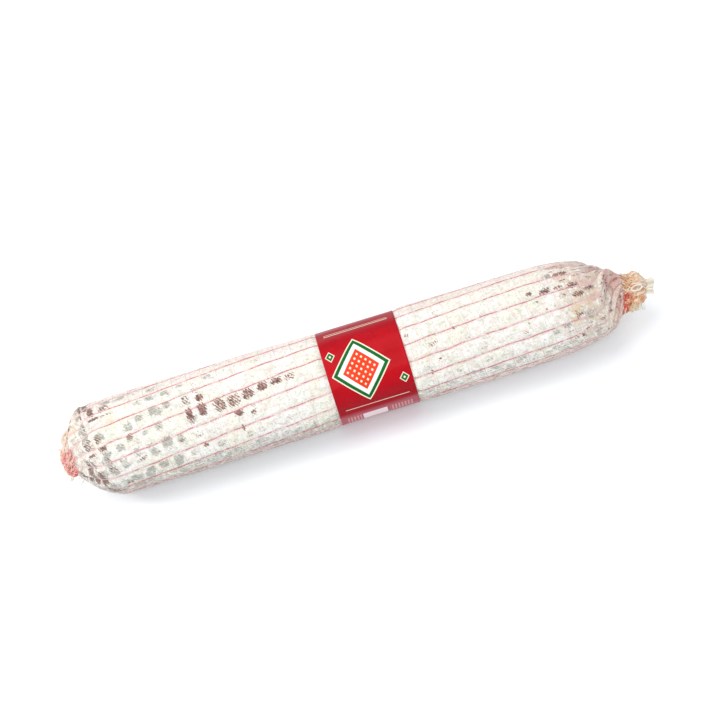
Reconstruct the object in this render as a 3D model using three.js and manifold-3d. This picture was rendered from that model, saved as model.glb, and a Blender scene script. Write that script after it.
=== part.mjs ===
// Whole dry-cured salami in a white mould-dusted casing, lying on its side along X.
// A tight elastic net runs over it, a paper band sits round its middle, and both
// ends are gathered and tied. Millimetres, +Z up, origin under the middle of the salami.
import * as THREE from 'three';
import { mergeVertices } from 'three/addons/utils/BufferGeometryUtils.js';
import Module from 'manifold-3d';

const wasm = await Module();
wasm.setup();

// Body of the salami
const AXIS_HEIGHT = 43.5; // axis over the table; the casing is a little wider and lies flat
const BODY_RADIUS = 45.4; // at the left shoulder, over the top of the pillows between threads
const TAPER = 1.5; // how much slimmer the right shoulder is
const TAPER_START = -235;
const TAPER_LENGTH = 490;
const UNEVENNESS = 0.3; // slow lumps of the stuffed casing

// Broad folds where the casing is drawn together, between the neck and the end of their reach
const LEFT_FOLDS = { height: 1.1, count: 3, reach: 34, phase: 0.4 };
const RIGHT_FOLDS = { height: 1.9, count: 4, reach: 50, phase: 1.3 };
const FOLD_SWIRL = 0.03; // radians that the folds turn in each millimetre

// Rounded ends: each runs from its neck to the full radius
const LEFT_END = { neckX: -273, fullX: -233, neckRadius: 10, roundness: 2.2, steepness: 0.73 };
const RIGHT_END = { neckX: 256, fullX: 160, neckRadius: 11.5, roundness: 3, steepness: 0.68 };

// Hang of the ends: the necks sag forward and down
const LEFT_SAG = { start: -258, end: -282, y: -2, z: -3 };
const RIGHT_SAG = { start: 200, end: 252, y: -2.4, z: -4 };
const LEFT_SLANT = 5; // the left end reaches this much further left on its upper back side
const SLANT_START = -212;
const SLANT_FULL = -252;
const RIGHT_SLANT = 11; // the right neck reaches this much further right on its upper back side
const RIGHT_SLANT_START = 234;
const RIGHT_SLANT_FULL = 257;

// Single creases beside the necks, each between two places given as X and degrees past the
// upper front side; a negative height is a valley
const CREASES = [
  { from: [-278, 92], to: [-267, 88], width: 9, height: 5.4 },
  { from: [245, 68], to: [228, -7], width: 4.5, height: 2.4 },
  { from: [248, 44], to: [234, -14], width: 4, height: -1.8 },
];
const CREASE_START = 0.6; // distance from the neck where creases begin
const CREASE_FULL = 2.2;
const CREASE_FADE = 0.2; // share of a crease's length over which it dies away past each end

// Net: lengthwise threads lie in valleys, crosswise threads press shallow hoops
const THREADS = 17;
const HOOP_PITCH = 13.8;
const HOOP_LEAN = 5; // hoops reach this much further left on the upper back side
const HOOP_LEAN_EASE = 40; // lean fades out over this length beside the label and the necks
const UPPER_FRONT = THREE.MathUtils.degToRad(50); // from -Y towards +Z; the label's middle
const FIRST_THREAD = THREE.MathUtils.degToRad(59.9); // at the middle of the label
const TWIST = THREE.MathUtils.degToRad(0.083); // per millimetre along the salami
const TWIST_CHANGE = THREE.MathUtils.degToRad(0.0001); // per square millimetre
const SWIRL = THREE.MathUtils.degToRad(85); // how far the net is wrung round at the right neck
const SWIRL_START = 226;
const SWIRL_END = 262;
const PILLOW_DEPTH = 0.9; // thread valley below the pillow tops
const HOOP_DEPTH = 0.4; // hoop groove below the pillow tops
const PLEAT_SHARE = 0.1; // depth of the pleats near a neck, as a share of the radius there
const PLEAT_RISE = 7; // distance from the neck over which the pleats grow
const PLEAT_REACH = 48; // distance from the neck where they have died away

// Threads have three sides: a flat one over the valley and a ridge outside
const THREAD_REACH = 0.75; // centre to corner
const THREAD_LIFT = 0.72; // centre over the valley
const PLEAT_LIFT = 0.3; // extra lift for each millimetre that a pleat is deeper than a pillow
const NECK_LIFT = 0.45; // outward from the axis, at the hollow corner of a neck
const THREAD_STEP = 5; // casing rows between two points of a thread on the straight body
const CURVED_STEP = 2; // the same on the slow curve of the right shoulder
const RIGHT_CURVE_END = 180; // past this every row has a point

// Paper band
const LABEL_LEFT = -26.4;
const LABEL_RIGHT = 47.7;
const LABEL_OUTER = 44.2;
const LABEL_THICKNESS = 0.6;
const LABEL_SIDES = 68;
const LABEL_MIDDLE = (LABEL_LEFT + LABEL_RIGHT) / 2;
const UNDER_LABEL_RADIUS = 43.3; // pillow tops squeezed under the band
const UNDER_LABEL_DEPTH = 1.5; // thread valleys there
const UNDER_LABEL_PITCH = 39; // rows of the hidden casing
const PINCH_MARGIN = 0.5;
const PINCH_EASE = 6;

// Lowest height that each layer may have over the table
const VALLEY_CLEARANCE = 1.9;
const LABEL_CLEARANCE = 0.3;
const PILLOW_UNDER_LABEL = 1.25;
const VALLEY_UNDER_LABEL = 2.75;

const GAP = 0.3; // between neighbouring pieces
const COLLAR_WALL = 1.4; // gathered net round each neck
const CORD_RADIUS = 1.1; // tying string
const RING_SIDES = 22;

// Gathered ends, as distances along X from the neck and radii
const LEFT_GATHER = {
  neckX: LEFT_END.neckX,
  outward: -1,
  collarRadius: LEFT_END.neckRadius,
  collarLength: 4.6,
  coreRadius: 6,
  bunchLength: 6.6,
  bunchRadius: 13.4,
  flareRadius: 8.2,
  tipX: -284.3,
  turns: 1,
  lumps: 0.1,
  loops: [
    { angle: 0.5, reach: 2.2, span: 0.9 },
    { angle: 2.2, reach: 1.8, span: 0.7 },
  ],
};
const RIGHT_GATHER = {
  neckX: RIGHT_END.neckX,
  outward: 1,
  collarRadius: RIGHT_END.neckRadius,
  collarLength: 6.6,
  coreRadius: 7.5,
  bunchLength: 15.5,
  bunchRadius: 16.2,
  flareRadius: 11.5,
  tipX: 281.9,
  turns: 2,
  lumps: 0.12,
  loops: [
    { angle: 0.7, reach: 2.6, span: 0.8 },
    { angle: 1.9, reach: 3, span: 0.6 },
    { angle: -0.6, reach: 2.4, span: 0.7 },
    { angle: 3.6, reach: 2.2, span: 0.8 },
  ],
};

const COLUMNS = 2 * THREADS;
const COLUMN_ANGLE = (2 * Math.PI) / COLUMNS;
const ROW_PITCH = HOOP_PITCH / 2;
const SWIRL_PITCH = 4.5;
const { smoothstep, lerp } = THREE.MathUtils;

// Share of the way from start to end, eased at both ends, in either direction
function ease(value, start, end) {
  const share = THREE.MathUtils.clamp((value - start) / (end - start), 0, 1);
  return smoothstep(share, 0, 1);
}

// Radius over the pillow tops, without the squeeze of the label
function fullRadius(x) {
  const along = Math.max(0, (x - TAPER_START) / TAPER_LENGTH);
  return BODY_RADIUS - TAPER * along ** 1.5;
}

function endShare(x, end) {
  const along = THREE.MathUtils.clamp((x - end.neckX) / (end.fullX - end.neckX), 0, 1);
  return (1 - (1 - along) ** end.roundness) ** end.steepness;
}

function casingRadius(x) {
  const end = x < 0 ? LEFT_END : RIGHT_END;
  const rounded = lerp(end.neckRadius, fullRadius(x), endShare(x, end));
  return lerp(rounded, UNDER_LABEL_RADIUS, pinch(x));
}

// One under the label, none a little way outside it
function pinch(x) {
  const outside = Math.max(LABEL_LEFT - x, x - LABEL_RIGHT) - PINCH_MARGIN;
  return 1 - ease(outside, 0, PINCH_EASE);
}

function neckDistance(x) {
  return Math.min(x - LEFT_END.neckX, RIGHT_END.neckX - x);
}

// Depth of the thread valleys: pillows on the body, pleats near the necks
function valleyDepth(x) {
  const distance = neckDistance(x);
  const pleats = ease(distance, 0, PLEAT_RISE) * (1 - ease(distance, PLEAT_RISE, PLEAT_REACH));
  const depth = Math.max(PILLOW_DEPTH, PLEAT_SHARE * casingRadius(x) * pleats);
  return lerp(depth, UNDER_LABEL_DEPTH, pinch(x)) * ease(distance, 0, PLEAT_RISE);
}

function twist(x) {
  const along = x - LABEL_MIDDLE;
  return TWIST * along - TWIST_CHANGE * along * along + SWIRL * ease(x, SWIRL_START, SWIRL_END);
}

// Slow lumps of the casing, none at the necks and under the label
function lump(x, angle) {
  const waves = Math.sin(x / 37 + 2 * angle) + 0.7 * Math.sin(x / 21 - 3 * angle);
  return UNEVENNESS * waves * (1 - pinch(x)) * ease(neckDistance(x), 0, PLEAT_REACH);
}

// Height of the folds at a distance from their neck
function endFold(distance, angle, { height, count, reach, phase }) {
  const growing = ease(distance, 0, reach / 4);
  const dying = 1 - ease(distance, reach / 2, reach);
  return height * growing * dying * Math.sin(count * angle + phase + FOLD_SWIRL * distance);
}

function folds(x, angle) {
  const left = endFold(x - LEFT_END.neckX, angle, LEFT_FOLDS);
  return left + endFold(RIGHT_END.neckX - x, angle, RIGHT_FOLDS);
}

// Outward direction round the axis: 0 faces -Y, a quarter turn faces up
function outward(angle) {
  return new THREE.Vector3(0, -Math.cos(angle), Math.sin(angle));
}

// One a quarter turn past the upper front side, minus one at the opposite side
function towardsUpperBack(angle) {
  return Math.sin(angle - UPPER_FRONT);
}

function centre(x) {
  const left = ease(x, LEFT_SAG.start, LEFT_SAG.end) ** 1.5;
  const right = ease(x, RIGHT_SAG.start, RIGHT_SAG.end) ** 1.5;
  const y = left * LEFT_SAG.y + right * RIGHT_SAG.y;
  const z = left * LEFT_SAG.z + right * RIGHT_SAG.z;
  return new THREE.Vector3(x, y, AXIS_HEIGHT + z);
}

// Point at a radius round the sagging axis, with the slant of both ends
function place(x, radius, angle) {
  const point = centre(x).addScaledVector(outward(angle), radius);
  const reach = (radius / BODY_RADIUS) * towardsUpperBack(angle);
  point.x -= LEFT_SLANT * reach * ease(x, SLANT_START, SLANT_FULL);
  point.x += RIGHT_SLANT * reach * ease(x, RIGHT_SLANT_START, RIGHT_SLANT_FULL);
  return point;
}

function smoothSurface(x, angle) {
  return place(x, casingRadius(x) + lump(x, angle) + folds(x, angle), angle);
}

// Outward normal of the smooth casing
function surfaceNormal(x, angle) {
  const step = 0.05;
  const x0 = Math.max(x - step, LEFT_END.neckX);
  const x1 = Math.min(x + step, RIGHT_END.neckX);
  const along = smoothSurface(x1, angle).sub(smoothSurface(x0, angle));
  const around = smoothSurface(x, angle + step).sub(smoothSurface(x, angle - step));
  return along.cross(around).normalize();
}

// Height of one crease at a place of the casing
function creaseHeight(x, angle, { from, to, width, height }) {
  const radius = casingRadius(x);
  const turn = (degrees) => UPPER_FRONT + THREE.MathUtils.degToRad(degrees);
  const start = new THREE.Vector2(from[0], 0);
  const end = new THREE.Vector2(to[0], (turn(to[1]) - turn(from[1])) * radius);
  const around = THREE.MathUtils.euclideanModulo(angle - turn(from[1]) + Math.PI, 2 * Math.PI) - Math.PI;
  const here = new THREE.Vector2(x, around * radius).sub(start);
  const line = end.sub(start);
  const share = THREE.MathUtils.clamp(here.dot(line) / line.lengthSq(), -CREASE_FADE, 1 + CREASE_FADE);
  const away = here.sub(line.clone().multiplyScalar(share)).length();
  const ends = ease(share, -CREASE_FADE, CREASE_FADE) * ease(share, 1 + CREASE_FADE, 1 - CREASE_FADE);
  return height * Math.exp(-((away / width) ** 2)) * ends * ease(neckDistance(x), CREASE_START, CREASE_FULL);
}

function creases(x, angle) {
  return CREASES.reduce((sum, crease) => sum + creaseHeight(x, angle, crease), 0);
}

// Casing at a depth below its smooth surface, kept over the table
function casingPoint(x, angle, depth, lowest) {
  const height = creases(x, angle) - depth;
  const point = smoothSurface(x, angle).addScaledVector(surfaceNormal(x, angle), height);
  point.z = Math.max(point.z, lowest);
  return point;
}

function threadAngle(x, thread) {
  return FIRST_THREAD + twist(x) + thread * 2 * COLUMN_ANGLE;
}

function valleyPoint(x, angle) {
  const lowest = pinch(x) > 0.5 ? VALLEY_UNDER_LABEL : VALLEY_CLEARANCE;
  return casingPoint(x, angle, valleyDepth(x), lowest);
}

// Hoops lean on the open body and stand straight beside the label and the necks
function leanedX(x, angle) {
  const beside = Math.max(LABEL_LEFT - x, x - LABEL_RIGHT, 0);
  const room = Math.min(beside, neckDistance(x)) / HOOP_LEAN_EASE;
  return x - HOOP_LEAN * towardsUpperBack(angle) * ease(room, 0, 1);
}

// Profile of the casing, for rows at even steps over the curved ends
class Profile extends THREE.Curve {
  constructor(x0, x1) {
    super();
    this.x0 = x0;
    this.x1 = x1;
    this.arcLengthDivisions = 2000;
  }

  getPoint(share) {
    const x = lerp(this.x0, this.x1, share);
    return new THREE.Vector3(x, casingRadius(x), 0);
  }
}

// Rows over one stretch of casing: hoop rows are even and pillow rows odd
function rowsBetween(x0, x1, pitch) {
  const profile = new Profile(x0, x1);
  const count = 2 * Math.round(profile.getLength() / (2 * pitch));
  return profile.getSpacedPoints(count).map((point) => point.x);
}

// Places of all casing rows; the label hides its own, so they are few there
function rowPlaces() {
  const labelStart = LABEL_LEFT - PINCH_MARGIN;
  const labelEnd = LABEL_RIGHT + PINCH_MARGIN;
  return [
    ...rowsBetween(LEFT_END.neckX, labelStart, ROW_PITCH),
    ...rowsBetween(labelStart, labelEnd, UNDER_LABEL_PITCH).slice(1),
    ...rowsBetween(labelEnd, SWIRL_START, ROW_PITCH).slice(1),
    ...rowsBetween(SWIRL_START, RIGHT_END.neckX, SWIRL_PITCH).slice(1),
  ];
}

const ROWS = rowPlaces();

// Closed skin over rings of points; the first and last ring are capped or joined
function skin(rings, joined = false) {
  const count = rings[0].length;
  const points = rings.flat();
  const faces = [];
  const bands = joined ? rings.length : rings.length - 1;
  for (let i = 0; i < bands; i += 1) {
    const a = i * count;
    const b = ((i + 1) % rings.length) * count;
    for (let k = 0; k < count; k += 1) {
      const next = (k + 1) % count;
      faces.push([a + k, a + next, b + next], [a + k, b + next, b + k]);
    }
  }
  if (!joined) {
    capRing(points, faces, 0, count, true);
    capRing(points, faces, (rings.length - 1) * count, count, false);
  }
  return facingOut(points, faces);
}

function capRing(points, faces, start, count, reversed) {
  const middle = new THREE.Vector3();
  for (let k = 0; k < count; k += 1) {
    middle.addScaledVector(points[start + k], 1 / count);
  }
  points.push(middle);
  const apex = points.length - 1;
  for (let k = 0; k < count; k += 1) {
    const face = [start + k, start + ((k + 1) % count), apex];
    faces.push(reversed ? face.reverse() : face);
  }
}

function facingOut(points, faces) {
  const volume = faces.reduce((sum, [a, b, c]) => {
    const corner = new THREE.Vector3().crossVectors(points[b], points[c]);
    return sum + corner.dot(points[a]);
  }, 0);
  const index = faces.flatMap((face) => (volume < 0 ? [face[0], face[2], face[1]] : face));
  const geometry = new THREE.BufferGeometry();
  geometry.setFromPoints(points);
  geometry.setIndex(index);
  return geometry;
}

function toSolid(geometry) {
  const plain = geometry.clone();
  plain.deleteAttribute('normal');
  plain.deleteAttribute('uv');
  const merged = mergeVertices(plain, 1e-4);
  const triVerts = new Uint32Array(merged.index.array);
  const vertProperties = new Float32Array(merged.attributes.position.array);
  return new wasm.Manifold(new wasm.Mesh({ numProp: 3, vertProperties, triVerts }));
}

function toGeometry(solid) {
  const mesh = solid.getMesh();
  const geometry = new THREE.BufferGeometry();
  geometry.setAttribute('position', new THREE.BufferAttribute(mesh.vertProperties, 3));
  geometry.setIndex(new THREE.BufferAttribute(mesh.triVerts, 1));
  return geometry;
}

// Ring round the axis at one place, ruffled by a share of its radius
function ruffledRing(x, radius, ruffle, sides = COLUMNS) {
  const ring = [];
  for (let k = 0; k < sides; k += 1) {
    const angle = FIRST_THREAD + (k * 2 * Math.PI) / sides + twist(x);
    const waves = 0.6 * Math.sin(5 * angle + x / 3) + 0.4 * Math.sin(8 * angle - x / 2);
    ring.push(place(x, radius * (1 + ruffle * waves), angle));
  }
  return ring;
}

// Casing past a neck: tied collar, core inside the net's bunch, and a ruffled torn tip
function tailRings(gather) {
  const { neckX, outward: side, collarRadius, coreRadius, flareRadius, tipX } = gather;
  const collarEnd = neckX + side * gather.collarLength;
  const coreStart = collarEnd + side * 1.6;
  const coreEnd = coreStart + side * (gather.bunchLength - 1);
  return [
    ruffledRing(collarEnd, collarRadius, 0),
    ruffledRing(coreStart, coreRadius, 0),
    ruffledRing(coreEnd, coreRadius, 0),
    ruffledRing(lerp(coreEnd, tipX, 0.5), lerp(coreRadius, flareRadius, 0.6), 0.1),
    ruffledRing(tipX, flareRadius, 0.28),
    ruffledRing(tipX - side, flareRadius * 0.45, 0.15),
  ];
}

function casingRing(row) {
  const x = ROWS[row];
  const ring = [];
  for (let column = 0; column < COLUMNS; column += 1) {
    const angle = FIRST_THREAD + twist(x) + column * COLUMN_ANGLE;
    const leaned = leanedX(x, angle);
    if (column % 2 === 0) {
      ring.push(valleyPoint(leaned, angle));
    } else {
      const hoop = row % 2 === 0 ? HOOP_DEPTH : 0;
      const depth = hoop * (1 - pinch(leaned)) * ease(neckDistance(leaned), 0, PLEAT_RISE);
      const lowest = pinch(leaned) > 0.5 ? PILLOW_UNDER_LABEL : -Infinity;
      ring.push(casingPoint(leaned, angle, depth, lowest));
    }
  }
  return ring;
}

// Everything below the table is cut off, which leaves flat spots to lie on
function cutAtTable(solid) {
  const room = 1000;
  const below = new THREE.BoxGeometry(room, room, room);
  below.translate(0, 0, -room / 2);
  return solid.subtract(toSolid(below));
}

function casedSausage() {
  const rings = [
    ...tailRings(LEFT_GATHER).reverse(),
    ...ROWS.map((x, row) => casingRing(row)),
    ...tailRings(RIGHT_GATHER),
  ];
  return toGeometry(cutAtTable(toSolid(skin(rings))));
}

// Rows where a thread has a point: all of them beside the label's edges and on the ends
function threadRows() {
  return ROWS.filter((x, row) => {
    const edgeDistance = Math.min(Math.abs(x - LABEL_LEFT), Math.abs(x - LABEL_RIGHT));
    const onEnd = x < LEFT_END.fullX + HOOP_PITCH || x > RIGHT_CURVE_END;
    const step = x > RIGHT_END.fullX ? CURVED_STEP : THREAD_STEP;
    return onEnd || edgeDistance < ROW_PITCH + 2 * PINCH_MARGIN || row % step === 0;
  });
}

// Three corners round a thread's centre: one outward, two over the valley
function threadSection(middle, normal, side) {
  const turn = (2 * Math.PI) / 3;
  return [0, 1, 2].map((k) => {
    const corner = middle.clone();
    corner.addScaledVector(normal, THREAD_REACH * Math.cos(k * turn));
    return corner.addScaledVector(side, THREAD_REACH * Math.sin(k * turn));
  });
}

// End of a thread inside the collar of its gathered end
function collarSection(gather, thread) {
  const x = gather.neckX + gather.outward * gather.collarLength * 0.7;
  const angle = threadAngle(x, thread);
  const middle = place(x, gather.collarRadius + THREAD_LIFT, angle);
  const side = place(x, 1, angle + Math.PI / 2).sub(place(x, 0, 0)).setX(0);
  return threadSection(middle, outward(angle), side.normalize());
}

function netThread(thread) {
  const sections = threadRows().map((row) => {
    const angle = threadAngle(row, thread);
    const x = leanedX(row, angle);
    const normal = surfaceNormal(x, angle);
    const lift = THREAD_LIFT + PLEAT_LIFT * Math.max(0, valleyDepth(x) - PILLOW_DEPTH);
    const neckLift = NECK_LIFT * (1 - ease(neckDistance(x), 0, PLEAT_RISE));
    const middle = valleyPoint(x, angle).addScaledVector(normal, lift);
    middle.addScaledVector(outward(angle), neckLift);
    const along = smoothSurface(x + 0.1, angle).sub(smoothSurface(x - 0.1, angle));
    const side = new THREE.Vector3().crossVectors(normal, along.normalize());
    return threadSection(middle, normal, side.normalize());
  });
  const first = collarSection(LEFT_GATHER, thread);
  const last = collarSection(RIGHT_GATHER, thread);
  return skin([first, ...sections, last]);
}

// Net past a neck: a collar under the tie and a lumpy bunch round the casing's core
function netBunch(gather) {
  const side = gather.outward;
  const collarStart = gather.neckX + side * 1.6;
  const collarEnd = gather.neckX + side * gather.collarLength;
  const collarInner = gather.collarRadius + GAP;
  const collarOuter = collarInner + COLLAR_WALL;
  const coreInner = gather.coreRadius + GAP;
  const bunchEnd = collarEnd + side * gather.bunchLength;
  const bunch = (share, radius, lumps) => [
    lerp(collarEnd + side * 0.4, bunchEnd, share),
    gather.bunchRadius * radius,
    gather.lumps * lumps,
  ];
  const profile = [
    [collarStart, collarInner, 0],
    [collarEnd + side * 0.4, collarInner, 0],
    [collarEnd + side * 2, coreInner, 0],
    [bunchEnd - side * 0.6, coreInner, 0],
    [bunchEnd - side * 0.2, lerp(coreInner, gather.bunchRadius, 0.35), 0.3 * gather.lumps],
    bunch(0.86, 0.8, 1),
    bunch(0.6, 1, 1),
    bunch(0.3, 0.98, 1),
    bunch(0.1, 0.9, 0.4),
    [collarEnd + side * 0.4, collarOuter, 0],
    [collarStart, collarOuter, 0],
  ];
  const rings = profile.map(([x, radius, ruffle]) => ruffledRing(x, radius, ruffle, RING_SIDES));
  return skin(rings, true);
}

// Loose end of the net, bowed out of the bunch and back into it
function threadLoop(gather, loop) {
  const seatX = gather.neckX + gather.outward * (gather.collarLength + gather.bunchLength * 0.55);
  const point = (radius, turn, slide) => place(seatX + slide, radius, loop.angle + turn);
  const buried = gather.bunchRadius * 0.8;
  const path = new THREE.CatmullRomCurve3([
    point(buried, -loop.span / 2, 0),
    point(gather.bunchRadius + loop.reach * 0.7, -loop.span / 4, gather.outward * 0.8),
    point(gather.bunchRadius + loop.reach, loop.span / 4, gather.outward * 1.2),
    point(buried, loop.span / 2, 0.4),
  ]);
  const section = new THREE.Shape();
  section.absarc(0, 0, THREAD_REACH, 0, 2 * Math.PI);
  return new THREE.ExtrudeGeometry(section, { steps: 5, curveSegments: 2, extrudePath: path });
}

function netting() {
  let net = wasm.Manifold.union(toSolid(netBunch(LEFT_GATHER)), toSolid(netBunch(RIGHT_GATHER)));
  for (let thread = 0; thread < THREADS; thread += 1) {
    net = net.add(toSolid(netThread(thread)));
  }
  for (const gather of [LEFT_GATHER, RIGHT_GATHER]) {
    for (const loop of gather.loops) {
      net = net.add(toSolid(threadLoop(gather, loop)));
    }
  }
  return toGeometry(net);
}

// Paper band, flattened where it lies on the table
function labelBand() {
  const inner = LABEL_OUTER - LABEL_THICKNESS;
  const edges = [
    [LABEL_LEFT, inner, LABEL_CLEARANCE + LABEL_THICKNESS],
    [LABEL_RIGHT, inner, LABEL_CLEARANCE + LABEL_THICKNESS],
    [LABEL_RIGHT, LABEL_OUTER, LABEL_CLEARANCE],
    [LABEL_LEFT, LABEL_OUTER, LABEL_CLEARANCE],
  ];
  const rings = edges.map(([x, radius, lowest]) => {
    const ring = [];
    for (let k = 0; k < LABEL_SIDES; k += 1) {
      const point = place(x, radius, (k * 2 * Math.PI) / LABEL_SIDES);
      point.z = Math.max(point.z, lowest);
      ring.push(point);
    }
    return ring;
  });
  return skin(rings, true);
}

// String wound round a collar, with its knot on the upper front side
function tie(gather) {
  const turnWidth = 2 * CORD_RADIUS;
  const wound = gather.turns * turnWidth;
  const inner = gather.collarRadius + GAP + COLLAR_WALL + GAP;
  const start = gather.neckX + gather.outward * (gather.collarLength - GAP - wound);
  const along = (distance) => start + gather.outward * distance;
  const rings = [
    ruffledRing(along(wound - CORD_RADIUS * 0.4), inner, 0, RING_SIDES),
    ruffledRing(along(CORD_RADIUS * 0.4), inner, 0, RING_SIDES),
  ];
  for (let turn = 0; turn < gather.turns; turn += 1) {
    for (const share of [0.1, 0.5, 0.9]) {
      const radius = inner + CORD_RADIUS * (1 + Math.sin(Math.PI * share));
      rings.push(ruffledRing(along((turn + share) * turnWidth), radius, 0, RING_SIDES));
    }
  }
  const knot = new THREE.SphereGeometry(CORD_RADIUS * 1.7, 8, 6);
  const seat = place(along(wound / 2), inner + CORD_RADIUS * 1.75, UPPER_FRONT);
  knot.translate(seat.x, seat.y, seat.z);
  return toGeometry(toSolid(skin(rings, true)).add(toSolid(knot)));
}

const FINISHES = {
  casing: { color: 0xe4dbd0, roughness: 0.85, metalness: 0 },
  thread: { color: 0xc86a72, roughness: 0.8, metalness: 0 },
  paper: { color: 0xa5122b, roughness: 0.45, metalness: 0 },
  string: { color: 0xb4383f, roughness: 0.85, metalness: 0 },
};

function piece(name, geometry, finish) {
  geometry.computeVertexNormals();
  const mesh = new THREE.Mesh(geometry, new THREE.MeshStandardMaterial(FINISHES[finish]));
  mesh.name = name;
  return mesh;
}

const salami = new THREE.Group();
salami.name = 'salami';
salami.add(piece('cased_sausage', casedSausage(), 'casing'));
salami.add(piece('netting', netting(), 'thread'));
salami.add(piece('label_band', labelBand(), 'paper'));
salami.add(piece('tie_left', tie(LEFT_GATHER), 'string'));
salami.add(piece('tie_right', tie(RIGHT_GATHER), 'string'));

export default salami;
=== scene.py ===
"""Looks of a whole dry-cured salami that lies on a white table.

The mould-dusted casing, its net, the paper band and the gathered ends are modelled here in
millimetres and written in metres. X runs along the salami, Z is up and the band faces up and front.
"""

import math
import random

import bmesh
import bpy
import numpy as np
from mathutils import Matrix, Vector


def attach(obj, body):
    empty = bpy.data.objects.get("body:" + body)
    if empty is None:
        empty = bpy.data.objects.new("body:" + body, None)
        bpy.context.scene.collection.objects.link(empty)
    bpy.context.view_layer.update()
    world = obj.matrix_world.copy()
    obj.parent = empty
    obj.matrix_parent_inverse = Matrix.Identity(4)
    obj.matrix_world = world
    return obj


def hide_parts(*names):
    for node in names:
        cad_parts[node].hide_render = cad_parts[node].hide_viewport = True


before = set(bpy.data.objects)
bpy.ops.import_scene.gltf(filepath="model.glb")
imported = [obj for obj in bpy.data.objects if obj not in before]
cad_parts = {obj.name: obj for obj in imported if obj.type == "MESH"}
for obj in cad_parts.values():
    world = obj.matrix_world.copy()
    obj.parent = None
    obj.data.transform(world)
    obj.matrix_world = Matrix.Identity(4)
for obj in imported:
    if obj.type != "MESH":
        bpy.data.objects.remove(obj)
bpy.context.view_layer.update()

MM = 0.001
BRIGHTNESS = 1.22  # how much brighter than its own colour a surface looks in this light

# Body of the salami
AXIS_HEIGHT = 43.5
BODY_RADIUS = 45.4
TAPER = 1.5
TAPER_START = -235.0
TAPER_LENGTH = 490.0
UNEVENNESS = 0.3

# Rounded ends, from the neck to the full radius
LEFT_END = {"neck": -273.0, "full": -233.0, "radius": 10.0, "roundness": 2.2, "steepness": 0.73}
RIGHT_END = {"neck": 256.0, "full": 160.0, "radius": 11.5, "roundness": 3.0, "steepness": 0.68}
LEFT_FOLDS = {"height": 1.1, "count": 3, "reach": 34.0, "phase": 0.4}
RIGHT_FOLDS = {"height": 1.9, "count": 4, "reach": 50.0, "phase": 1.3}
FOLD_SWIRL = 0.03
LEFT_SAG = {"start": -258.0, "end": -282.0, "y": -2.0, "z": -3.0}
RIGHT_SAG = {"start": 200.0, "end": 252.0, "y": -2.4, "z": -4.0}
LEFT_SLANT = {"start": -212.0, "full": -252.0, "most": -5.0}
RIGHT_SLANT = {"start": 234.0, "full": 257.0, "most": 11.0}

# Net
THREADS = 17
GAP_ANGLE = 2 * math.pi / THREADS
HOOP_PITCH = 13.8
HOOP_LEAN = 5.0
HOOP_LEAN_EASE = 40.0
UPPER_FRONT = math.radians(50)
FIRST_THREAD = math.radians(59.9)
TWIST = math.radians(0.083)
TWIST_CHANGE = math.radians(0.0001)
SWIRL = math.radians(85)
SWIRL_START = 226.0
SWIRL_END = 262.0
LEFT_CELL = -97.1  # a cell's middle left of the band
RIGHT_CELL = 170.0  # a cell's middle right of the band
CELLS_BETWEEN = 19.0
PILLOW_DEPTH = 1.0
PILLOW_FULLNESS = 2.6
HOOP_DEPTH = 0.25
HOOP_WIDTH = 1.5
PUFF = 0.35
CELL_WIDTH = 16.4  # mean distance of two threads
PLEAT_SHARE = 0.1
PLEAT_RISE = 7.0
PLEAT_REACH = 48.0
THREAD_RADIUS = 0.43
HOOP_RADIUS = 0.34
KNOT = 0.25  # how much thicker a thread is where a hoop crosses it

# Paper band
LABEL_LEFT = -26.4
LABEL_RIGHT = 47.7
LABEL_MIDDLE = (LABEL_LEFT + LABEL_RIGHT) / 2
LABEL_HALF = (LABEL_RIGHT - LABEL_LEFT) / 2
LABEL_OUTER = 44.2
UNDER_LABEL_RADIUS = 43.3
PINCH_GAP = 0.3
PINCH_EASE = 3.5
LABEL_CLEARANCE = 0.3

# Camera: straight at the upper front side
CAMERA_X = 5.9
CAMERA_AIM = (6.9, 49.3)
CAMERA_DISTANCE = 1790.0
CAMERA_LENS = 97.5
CAMERA_ROLL = math.radians(17.2)
EDGE = 0.985  # share of the radius up to which the view shows a spot


def ease(value, start, end):
    share = np.clip((value - start) / (end - start), 0.0, 1.0)
    return share * share * (3 - 2 * share)


def blend(a, b, share):
    return a + (b - a) * share


# Shape of the casing, in millimetres

def pinch(x):
    outside = np.maximum(LABEL_LEFT - x, x - LABEL_RIGHT) - PINCH_GAP
    return 1 - ease(outside, 0, PINCH_EASE)


def end_share(x, end):
    along = np.clip((x - end["neck"]) / (end["full"] - end["neck"]), 0.0, 1.0)
    return (1 - (1 - along) ** end["roundness"]) ** end["steepness"]


def casing_radius(x):
    full = BODY_RADIUS - TAPER * (np.maximum(0, x - TAPER_START) / TAPER_LENGTH) ** 1.5
    left = blend(LEFT_END["radius"], full, end_share(x, LEFT_END))
    right = blend(RIGHT_END["radius"], full, end_share(x, RIGHT_END))
    return blend(np.where(x < 0, left, right), UNDER_LABEL_RADIUS, pinch(x))


def neck_distance(x):
    return np.minimum(x - LEFT_END["neck"], RIGHT_END["neck"] - x)


def valley_depth(x):
    distance = neck_distance(x)
    pleats = ease(distance, 0, PLEAT_RISE) * (1 - ease(distance, PLEAT_RISE, PLEAT_REACH))
    depth = np.maximum(PILLOW_DEPTH, PLEAT_SHARE * casing_radius(x) * pleats)
    return depth * (1 - 0.6 * pinch(x)) * ease(distance, 0, PLEAT_RISE)


def twist(x):
    along = x - LABEL_MIDDLE
    return TWIST * along - TWIST_CHANGE * along * along + SWIRL * ease(x, SWIRL_START, SWIRL_END)


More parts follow.
